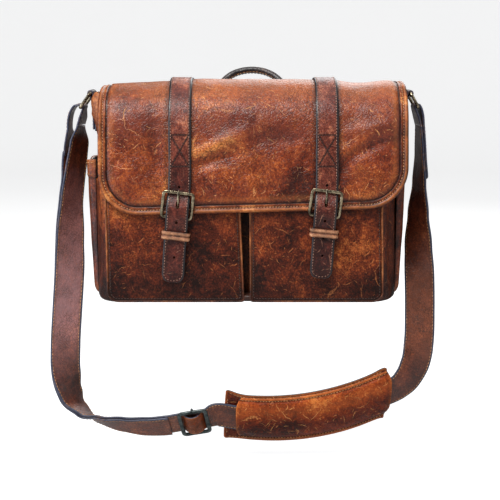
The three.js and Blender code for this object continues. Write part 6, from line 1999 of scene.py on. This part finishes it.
def make_slider():
    p, t, w, n = [q[0] for q in strap_frame([16.0])]
    def place(a, b, c):
        return p + t * a + w * b + n * c
    # outer frame of flat bar
    loop = rounded_loop(17.0, -23.0, 23.0, 4.0, 6)
    loop = resample(loop, 1.8, closed=True)
    P = A([place(a, b, 4.3 + 0.5 * math.cos(b / 23.0 * 1.4)) for a, b in loop])
    prof = square_profile(16, 3.0) * A([1.15, 0.8])
    tube("slider_frame_metal", P, 2.35, [M["gun"]], closed=True, profile=prof, body="slider", nodes=("slider_frame",), ref=tuple(n), wearf=bar_wear(0.7, 40))
    # centre bar behind the strap's turn
    bar = [place(0, -21.6, 2.4), place(0, -20.8, -0.6), place(0, -18.5, -3.4), place(0, 18.5, -3.4), place(0, 20.8, -0.6), place(0, 21.6, 2.4)]
    P = resample(catmull(bar, 8), 1.8)
    tube("slider_bar_metal", P, 1.5, [M["gun"]], body="slider", ref=tuple(t), wearf=bar_wear(0.9, 41))
    # the strap's end turned over the bar: a soft hump standing between the side bars
    prof2 = [(-13.4, 2.9), (-11.8, 4.2), (-9.5, 6.9), (-6.0, 9.6), (-1.5, 10.9), (3.0, 10.6), (7.2, 8.6), (10.4, 5.4), (12.0, 3.4), (13.4, 2.7)]
    line = resample(catmull(prof2, 10), 1.3)
    bs = np.linspace(-1, 1, 22)
    sec = []
    m = len(line)
    tt = unit(np.gradient(line, axis=0))
    nn = np.stack([-tt[:, 1], tt[:, 0]], -1)
    nn = nn * np.sign(nn[m // 2, 1])
    rows_o, rows_i = [], []
    for i in range(m):
        hwx = 18.2 - 0.7 * math.sin(math.pi * i / (m - 1))
        ro, ri = [], []
        for b in bs:
            sag = 0.9 * (abs(b) ** 3) * math.sin(math.pi * i / (m - 1))
            crease = 0.35 * noise3(A([[line[i, 0] * 1.5, b * 18, 3.0]]), 1 / 8.0, 45)[0]
            o2 = line[i] + nn[i] * (crease - sag)
            i2 = line[i] - nn[i] * 2.3
            ro.append(place(o2[0], b * hwx, o2[1])); ri.append(place(i2[0], b * hwx, max(i2[1], 1.55)))
        rows_o.append(ro); rows_i.append(ri)
    O, I = A(rows_o), A(rows_i)
    k = len(bs)
    V = np.vstack([O.reshape(-1, 3), I.reshape(-1, 3)])
    idx = np.arange(m * k).reshape(m, k)
    F, fm = [], []
    for i in range(m - 1):
        for j in range(k - 1):
            F.append((idx[i, j], idx[i, j + 1], idx[i + 1, j + 1], idx[i + 1, j])); fm.append(0)
            F.append((idx[i, j] + m * k, idx[i + 1, j] + m * k, idx[i + 1, j + 1] + m * k, idx[i, j + 1] + m * k)); fm.append(0)
    ring = [idx[i, 0] for i in range(m)] + [idx[m - 1, j] for j in range(1, k)] + [idx[i, k - 1] for i in range(m - 2, -1, -1)] + [idx[0, j] for j in range(k - 2, 0, -1)]
    for a, b in zip(ring, ring[1:] + ring[:1]):
        F.append((a, b, b + m * k, a + m * k)); fm.append(1)
    F = outward(V, F)
    bb = np.tile(np.abs(bs), m)
    wear = np.tile(0.7 * np.exp(-((1 - bb) * 18 / 2.0)), 2) + 0.25
    uvm = np.vstack([np.stack([np.tile(bs * 18, m), np.repeat(run_of(line), k)], -1)] * 2)
    o = mesh_object("slider_strap_turn", V, F, [M["pad"], M["edge"]], fmat=fm, uvm=uvm, wear=wear * 0.6, tone=-0.02)
    finish_piece(o, "slider")


# ------------------------------------------------------------------ shoulder pad
def pad_place(deg, a, b):
    """Pad point: degrees along its arc, a across (towards the top edge), b out towards the front."""
    deg, a, b = np.broadcast_arrays(A(deg), A(a), A(b))
    d = np.radians(deg)
    z0 = d * 0
    out = np.stack([np.sin(d), z0, -np.cos(d)], -1)
    t = rad(PAD_TILT)
    front = A([0, -1.0, 0])
    width = front * math.cos(t) + out * math.sin(t)
    normal = out * math.cos(t) - front * math.sin(t)
    c = np.stack([PAD_C[0] + PAD_R * np.sin(d), z0 + PAD_Y, PAD_C[1] - PAD_R * np.cos(d)], -1)
    return c + width * a[..., None] + normal * b[..., None]


BASE_DEG, COVER_DEG = (-8.2, 25.8), (-5.7, 26.6)
MM_PER_DEG = PAD_R * math.pi / 180


def shear(u, v):
    """The pad's ends are cut askew: degrees to add at u along and v across (top edge v = 1)."""
    left = -1.1 * (v + 1) / 2 * np.clip(1 - u / 0.25, 0, 1)
    right = (-0.3 + 2.4 * v) * np.clip((u - 0.72) / 0.28, 0, 1)
    return left + right


def pad_extra(u, v):
    """The leaf is a little wider below than above, and stands up at its left end."""
    top = 2.8 + 5.0 * np.clip(1 - u / 0.14, 0, None) ** 2
    low = 3.0 + 4.0 * np.sin(math.pi * u)
    return np.abs(v) * np.where(v > 0, top, low)


def flare(u):
    return 32 + 2.2 * np.clip(1 - u / 0.12, 0, None) ** 2 + 2.2 * np.clip((u - 0.88) / 0.12, 0, None) ** 2


def closed_strip(name, degs, us, front, back, mats, body, slot, nodes, edge_mat=1, **kw):
    """Closed sheet from front and back grids (m, k, 3)."""
    m, k = front.shape[:2]
    V = np.vstack([front.reshape(-1, 3), back.reshape(-1, 3)])
    idx = np.arange(m * k).reshape(m, k)
    F, fm = [], []
    for i in range(m - 1):
        for j in range(k - 1):
            F.append((idx[i, j], idx[i, j + 1], idx[i + 1, j + 1], idx[i + 1, j])); fm.append(0)
            F.append((idx[i, j] + m * k, idx[i + 1, j] + m * k, idx[i + 1, j + 1] + m * k, idx[i, j + 1] + m * k)); fm.append(kw.get("back_mat", 0))
    ring = [idx[i, 0] for i in range(m)] + [idx[m - 1, j] for j in range(1, k)] + [idx[i, k - 1] for i in range(m - 2, -1, -1)] + [idx[0, j] for j in range(k - 2, 0, -1)]
    for a, b in zip(ring, ring[1:] + ring[:1]):
        F.append((a, b, b + m * k, a + m * k)); fm.append(edge_mat)
    F = outward(V, F)
    o = mesh_object(name, V, F, mats, fmat=fm, uvm=kw.get("uvm"), wear=kw.get("wear"), dark=kw.get("dark"), tone=kw.get("tone"))
    return finish_piece(o, body, nodes)


def make_pad():
    # base leaf, flared at both ends with cut corners
    m, k = 120, 26
    u = np.linspace(0, 1, m)
    degs = lerp(BASE_DEG[0], BASE_DEG[1], u)
    v = np.concatenate([np.linspace(-1, -0.86, 6), np.linspace(-0.86, 0.86, 16)[1:-1], np.linspace(0.86, 1, 6)])
    k = len(v)
    hw = flare(u)
    L = (BASE_DEG[1] - BASE_DEG[0]) * MM_PER_DEG
    d = np.minimum(u, 1 - u) * L
    hw = hw - 3.4 * (1 - np.sqrt(np.clip(1 - (np.clip(4.0 - d, 0, 4) / 4.0) ** 2, 0, 1)))
    D = np.repeat(degs[:, None], k, 1) + shear(u[:, None], v[None])
    Av = (hw[:, None] + pad_extra(u[:, None], v[None])) * v[None]
    lift_end = 1.6 * sstep(9, 0, d)[:, None] * np.abs(v)[None] ** 2
    lumps = 0.35 * fbm(np.stack([D * MM_PER_DEG, Av, Av * 0], -1), 1 / 30.0, 2, 101)
    roll = 0.9 * sstep(0.9, 1.0, np.abs(v))[None] * np.ones((m, 1))
    fr = pad_place(D, Av, -2.1 + lumps * 0.5 + lift_end - roll * 0.4)
    bk = pad_place(D, Av, -4.5 + lift_end + roll * 0.2)
    edge = (1 - np.abs(v))[None] * hw[:, None]
    ee = np.minimum(edge, d[:, None])
    wear = np.tile((0.75 * np.exp(-ee / 1.5)).ravel(), 2)
    # painted shade in the stitch groove near the edge
    dark = np.tile((0.35 * np.exp(-((ee - 3.2) / 1.0) ** 2)).ravel(), 2)
    uvm = np.vstack([np.stack([(D * MM_PER_DEG).ravel() + 900, Av.ravel()], -1)] * 2)
    closed_strip("pad_base_leather", D, u, fr, bk, [M["pad"], M["edge_dark"]], "pad", "pad_leather", ("pad_base",), uvm=uvm, wear=wear, dark=dark, tone=-0.08)
    th = Threads()
    for e in (-1, 1):
        a = e * (flare(u) - 3.0 + pad_extra(u, e * 0.9 + 0 * u) / 0.9)
        dg_ = degs + shear(u, e * 0.9 + 0 * u)
        sel = (d > 4)
        th.line(pad_place(dg_, a, -1.85)[sel], unit(pad_place(dg_, a, 1) - pad_place(dg_, a, 0))[sel], 4.2, 3.0, 0.42)
    for i, q in ((np.argmin(np.abs(u * L - 4)), 1), (np.argmin(np.abs((1 - u) * L - 4)), 1)):
        aa = np.linspace(-28, 28, 10)
        da = degs[i] + shear(u[i], aa / 32.0)
        th.line(pad_place(da, aa, -1.0 + 0 * aa), unit(pad_place(da, aa, 1 + 0 * aa) - pad_place(da, aa, 0 * aa)), 4.2, 3.0, 0.42)
    th.make("pad_base_stitches", M["thread_tan"], "pad", "pad_leather")

    # cover: a soft arched sleeve over the strap
    m = 150
    u = np.linspace(0, 1, m)
    degs = lerp(COVER_DEG[0], COVER_DEG[1], u)
    L = (COVER_DEG[1] - COVER_DEG[0]) * MM_PER_DEG
    prof = catmull([(-30.2, -1.9), (-29.8, -0.4), (-28.6, 0.5), (-27.2, 0.35), (-26.2, 0.7), (-24.0, 3.2), (-19, 5.6), (-9, 7.3), (0, 7.7), (9, 7.3), (19, 5.6), (24.0, 3.2), (26.2, 0.7), (27.2, 0.35), (28.6, 0.5),
                    (29.8, -0.4), (30.2, -1.9)], 5)
    k = len(prof)
    tp = unit(np.gradient(prof, axis=0))
    npf = np.stack([-tp[:, 1], tp[:, 0]], -1)
    npf *= np.sign(npf[k // 2, 1])
    d = np.minimum(u, 1 - u) * L
    # the sleeve narrows at its mouths and slumps between
    end = sstep(14, 0, d)
    D = np.repeat(degs[:, None], k, 1) + shear(u[:, None], prof[None, :, 0] / 31.0)
    vv = prof[None, :, 0] / 30.2
    D = D + np.where(u[:, None] < 0.5, 1, -1) * 1.15 * np.abs(vv) ** 5 * np.clip(1 - d[:, None] / 40.0, 0, 1)
    wide = 1 + np.where(vv > 0, 0.06 * np.abs(vv), (0.085 + 0.10 * np.sin(math.pi * u[:, None])) * np.abs(vv))
    lump = fbm(np.stack([D * MM_PER_DEG, np.tile(prof[:, 0], (m, 1)), D * 0], -1), 1 / 34.0, 3, 111)
    crest = sstep(-1, 5, prof[:, 1])[None]
    wr = 1 - np.abs(noise3(np.stack([D * MM_PER_DEG + np.tile(prof[:, 0], (m, 1)) * 0.4, np.tile(prof[:, 0], (m, 1)) * 0.4, D * 0], -1), 1 / 26.0, 117))
    push = (0.95 * lump - 0.75 * np.clip(wr - 0.78, 0, 1) / 0.22 * 0.8) * crest
    sy = 1 - 0.10 * end[:, None]
    fo = pad_place(D, (prof[None, :, 0] + npf[None, :, 0] * push) * wide * (1 - 0.015 * end[:, None]), prof[None, :, 1] * sy + npf[None, :, 1] * push)
    thick = 2.0 * sstep(-1.95, 1.0, prof[:, 1])[None] + 0.25
    bi = pad_place(D, prof[None, :, 0] * wide - npf[None, :, 0] * thick, np.maximum(prof[None, :, 1] * sy - npf[None, :, 1] * thick, -2.15))
    a_ = np.abs(prof[:, 0])
    # the wear band 14 mm up the crown is a painted highlight; the rest is rub along the welts and at the mouths
    wear = 0.55 * np.exp(-((a_ - 29.2) / 1.2) ** 2)[None] + 0.45 * np.exp(-d / 2.0)[:, None] + 0.16 * np.exp(-((prof[:, 0] - 14) / 10.0) ** 2)[None] + 0 * D
    # painted shade in the grooves inside the welted edges; a darker line 5 mm in from each mouth
    dark = 0.75 * np.exp(-((a_ - 27.2) / 0.9) ** 2)[None] + 0 * D
    dark = dark + 0.2 * np.exp(-((d - 5) / 1.2) ** 2)[:, None]
    # painted light: brighter towards the left end and the top edge; painted shade towards the lower edge
    tone = 0.06 * sstep(0.45, 0.0, u)[:, None] + 0.30 * sstep(-6, 20, prof[:, 0])[None] - 0.12 * sstep(4, -24, prof[:, 0])[None] - 0.03
    uvm = np.vstack([np.stack([(D * MM_PER_DEG).ravel() + 1500, np.tile(run_of(prof), m)], -1)] * 2)
    closed_strip("pad_cover_leather", D, u, fo, bi, [M["pad"], M["edge_dark"]], "pad", "pad_leather", ("pad_cover",), uvm=uvm, wear=np.tile(wear.ravel(), 2), dark=np.tile(np.clip(dark, 0, 1).ravel(), 2),
                 tone=np.tile(tone.ravel(), 2))
    th = Threads()
    for e in (-1, 1):
        q_ = 27.3 / 30.2
        a = e * 27.3 * (1 + (0.06 * q_ if e > 0 else (0.085 + 0.10 * np.sin(math.pi * u)) * q_))
        dg_ = degs + shear(u, e * 0.88 + 0 * u) + np.where(u < 0.5, 1, -1) * 1.15 * q_ ** 5 * np.clip(1 - d / 40.0, 0, 1)
        sel = d > 2
        th.line(pad_place(dg_, a, 0.45)[sel], unit(pad_place(dg_, a, 1) - pad_place(dg_, a, 0))[sel], 3.8, 2.5, 0.46)
    th.make("pad_cover_stitches", M["thread_tan"], "pad", "pad_leather")
    make_cushion()


def make_cushion():
    """Padding under the base: swollen by a short cloth simulation, then given its sewn channels."""
    m, k = 60, 15
    u = np.linspace(0, 1, m)
    degs = lerp(BASE_DEG[0] + 0.45, BASE_DEG[1] - 0.45, u)
    L = (degs[-1] - degs[0]) * MM_PER_DEG
    d = np.minimum(u, 1 - u) * L
    hw = flare(u) - 3.2 - 7.0 * (1 - np.sqrt(np.clip(1 - (np.clip(9.0 - d, 0, 9) / 9.0) ** 2, 0, 1)))
    rings = []
    q = np.linspace(0, 2 * math.pi, 44, endpoint=False)
    prof = []
    for a in q:
        c, s = math.cos(a), math.sin(a)
        prof.append((abs(c) ** 0.35 * (1 if c > 0 else -1), abs(s) ** 0.75 * (1 if s > 0 else -1)))
    prof = A(prof)
    th_ = 2.9 * (0.55 + 0.45 * np.sqrt(np.clip(1 - (np.clip(9.0 - d, 0, 9) / 9.0) ** 2, 0, 1)))
    for i in range(m):
        rings.append(pad_place(degs[i], prof[:, 0] * hw[i], -8.3 + prof[:, 1] * th_[i]))
    V, F, _, _ = grid_skin(A(rings))
    F = outward(V, F)
    o = mesh_object("pad_cushion_soft", V, F, [M["felt"]])
    bpy.context.view_layer.objects.active = o
    md = o.modifiers.new("remesh", "REMESH")
    md.mode = "VOXEL"
    md.voxel_size = 0.0042
    md.use_smooth_shade = True
    bpy.context.view_layer.update()
    dg = bpy.context.evaluated_depsgraph_get()
    me = bpy.data.meshes.new_from_object(o.evaluated_get(dg))
    o.modifiers.clear()
    o.data = me
    start = np.empty(len(me.vertices) * 3)
    me.vertices.foreach_get("co", start)
    start = start.reshape(-1, 3)
    cl = o.modifiers.new("cloth", "CLOTH")
    st = cl.settings
    st.use_pressure = True
    st.uniform_pressure_force = 4.0
    st.effector_weights.gravity = 0.0
    st.quality = 5
    cl.collision_settings.use_collision = False
    cl.point_cache.frame_start, cl.point_cache.frame_end = 1, 20
    for f in range(1, 17):
        scene.frame_set(f)
    dg = bpy.context.evaluated_depsgraph_get()
    ev = o.evaluated_get(dg)
    co = np.empty(len(ev.data.vertices) * 3)
    ev.data.vertices.foreach_get("co", co)
    co = co.reshape(-1, 3)
    o.modifiers.clear()
    scene.frame_set(1)
    move = co - start
    ln = np.linalg.norm(move, axis=1, keepdims=True)
    move = move * np.minimum(1, 0.0030 / np.maximum(ln, 1e-9))
    co = start + move
    V = co / MM
    F = [tuple(p.vertices) for p in o.data.polygons]
    old = o
    bpy.data.objects.remove(old)
    # sewn channels across the padding and the flat where it meets the base
    V = cushion_finish(V)
    o = mesh_object("pad_cushion_soft", V, F, [M["felt"]])
    sub = o.modifiers.new("smooth", "SUBSURF")
    sub.levels = sub.render_levels = 1
    finish_piece(o, "pad", ("pad_cushion",))


def cushion_finish(V):
    """Presses channels into the back of the cushion and keeps it behind the base leaf."""
    c = np.stack([V[:, 0] - PAD_C[0], V[:, 2] - PAD_C[1]], -1)
    # into the pad's own axes
    t = rad(PAD_TILT)
    r = np.hypot(c[:, 0], c[:, 1])
    deg = np.degrees(np.arctan2(c[:, 0], -c[:, 1]))
    rho = r - PAD_R                    # along 'out'
    fy = -(V[:, 1] - PAD_Y)            # along front
    a = fy * math.cos(t) + rho * math.sin(t)
    b = rho * math.cos(t) - fy * math.sin(t)
    ch = 0
    s = (deg - BASE_DEG[0]) * MM_PER_DEG
    for q in np.arange(24, 200, 27.0):
        ch = ch + np.exp(-((s - q) / 2.0) ** 2)
    b = b + 1.9 * np.clip(ch, 0, 1) * (b < -7) * sstep(31, 26, np.abs(a))
    b = np.clip(b, -12.6, -4.75)
    d = np.radians(deg)
    rho2 = a * math.sin(t) + b * math.cos(t)
    fy2 = a * math.cos(t) - b * math.sin(t)
    R = PAD_R + rho2
    return np.stack([PAD_C[0] + R * np.sin(d), PAD_Y - fy2, PAD_C[1] - R * np.cos(d)], -1)


# ------------------------------------------------------------------ build
make_flap()
make_binding()
make_yoke()
for side in ("left", "right"):
    make_flap_strap(side)
    make_buckle(side)
make_body()
make_lining()
for side in ("left", "right"):
    make_front_pocket(side)
    make_side_pocket(side)
    make_chape(side)
    make_ring(side)
make_handle()
make_body_stitches()
make_gap_tongue()
make_shoulder_strap()
make_strap_loops()
make_slider()
make_pad()

# ------------------------------------------------------------------ stage, light, camera
def make_stage():
    """A plain pale floor that curves up into a low pale wall all round, far from the bag."""
    rr = [0.0, 0.4, 1.2, 2.4, 4.2]
    zz = [-0.222] * 5
    for a in np.linspace(0, math.pi / 2, 12)[1:]:
        rr.append(4.2 + 1.4 * math.sin(a)); zz.append(-0.222 + 1.4 * (1 - math.cos(a)))
    rr.append(5.6); zz.append(2.6)
    n = 96
    V, F = [], []
    for r, z in zip(rr, zz):
        for k in range(n):
            a = 2 * math.pi * k / n
            V.append((r * math.cos(a), r * math.sin(a), z))
    for i in range(len(rr) - 1):
        for k in range(n):
            k2 = (k + 1) % n
            if i == 0:
                if k == 0:
                    F.append(tuple(n + q for q in range(n)))
            else:
                F.append((i * n + k, (i + 1) * n + k, (i + 1) * n + k2, i * n + k2))
    me = bpy.data.meshes.new("floor")
    me.from_pydata(V, [], F)
    me.polygons.foreach_set("use_smooth", np.ones(len(F), bool))
    g = Net("pale_floor")
    pos = g.node("NewGeometry").outputs[0]
    nz = g.noise(pos, 3.0, 3.0, 0.5)
    col = g.mix(nz, (0.50, 0.50, 0.50, 1), (0.54, 0.54, 0.535, 1))
    m = g.finish(col, 0.8, 0.0, g.bump(g.noise(pos, 300.0, 2.0), 0.1, 0.0004), spec=0.1)
    # lit backdrop: brighter to the camera than the light it sends back to the bag
    cam_ray = g.node("LightPath").outputs["Is Camera Ray"]
    b = [q for q in g.t.nodes if q.type == "BSDF_PRINCIPLED"][0]
    b.inputs["Emission Color"].default_value = (1, 1, 1, 1)
    g.t.links.new(g.mul(cam_ray, 0.72), b.inputs["Emission Strength"])
    me.materials.append(m)
    o = bpy.data.objects.new("floor", me)
    TOP.objects.link(o)


make_stage()
world = bpy.data.worlds.new("pale")
scene.world = world
world.use_nodes = True
bg = world.node_tree.nodes["Background"]
bg.inputs[0].default_value = (0.93, 0.96, 1.0, 1)
bg.inputs[1].default_value = 0.24


def area(name, loc, target, size, power, color=(1, 1, 1), size_y=None):
    l = bpy.data.lights.new(name, "AREA")
    l.shape = "RECTANGLE"
    l.size = size
    l.size_y = size_y or size
    l.energy = power
    l.color = color
    o = bpy.data.objects.new(name, l)
    o.location = loc
    o.rotation_mode = "QUATERNION"
    o.rotation_quaternion = (Vector(target) - Vector(loc)).to_track_quat("-Z", "Y")
    TOP.objects.link(o)


area("key_softbox", (-0.65, -1.15, 2.0), (0, -0.02, 0.1), 1.25, 62, (1.0, 0.985, 0.96), 0.9)
area("top_softbox", (0.25, 0.15, 2.1), (0, 0, 0.1), 1.4, 8, (0.96, 0.98, 1.0))
area("fill_left", (-2.2, -1.0, 0.55), (0, 0, 0.05), 1.3, 30, (0.80, 0.88, 1.0))
area("fill_right", (2.1, -0.9, 0.9), (0, 0, 0.05), 1.2, 7, (0.93, 0.97, 1.0))
area("back_soft", (0.5, 2.0, 1.4), (0, 0, 0.1), 1.4, 20, (1, 1, 1))

cam = bpy.data.cameras.new("camera")
cam.lens = 88.5
cam.sensor_width = 36
co = bpy.data.objects.new("camera", cam)
co.location = (0.00427, -1.5435, 0.3006)
co.rotation_mode = "XYZ"
co.rotation_euler = (rad(90 - 9.0), 0, 0)
TOP.objects.link(co)
scene.camera = co
scene.view_settings.view_transform = "Standard"
scene.view_settings.look = "None"
scene.view_settings.exposure = 0.0
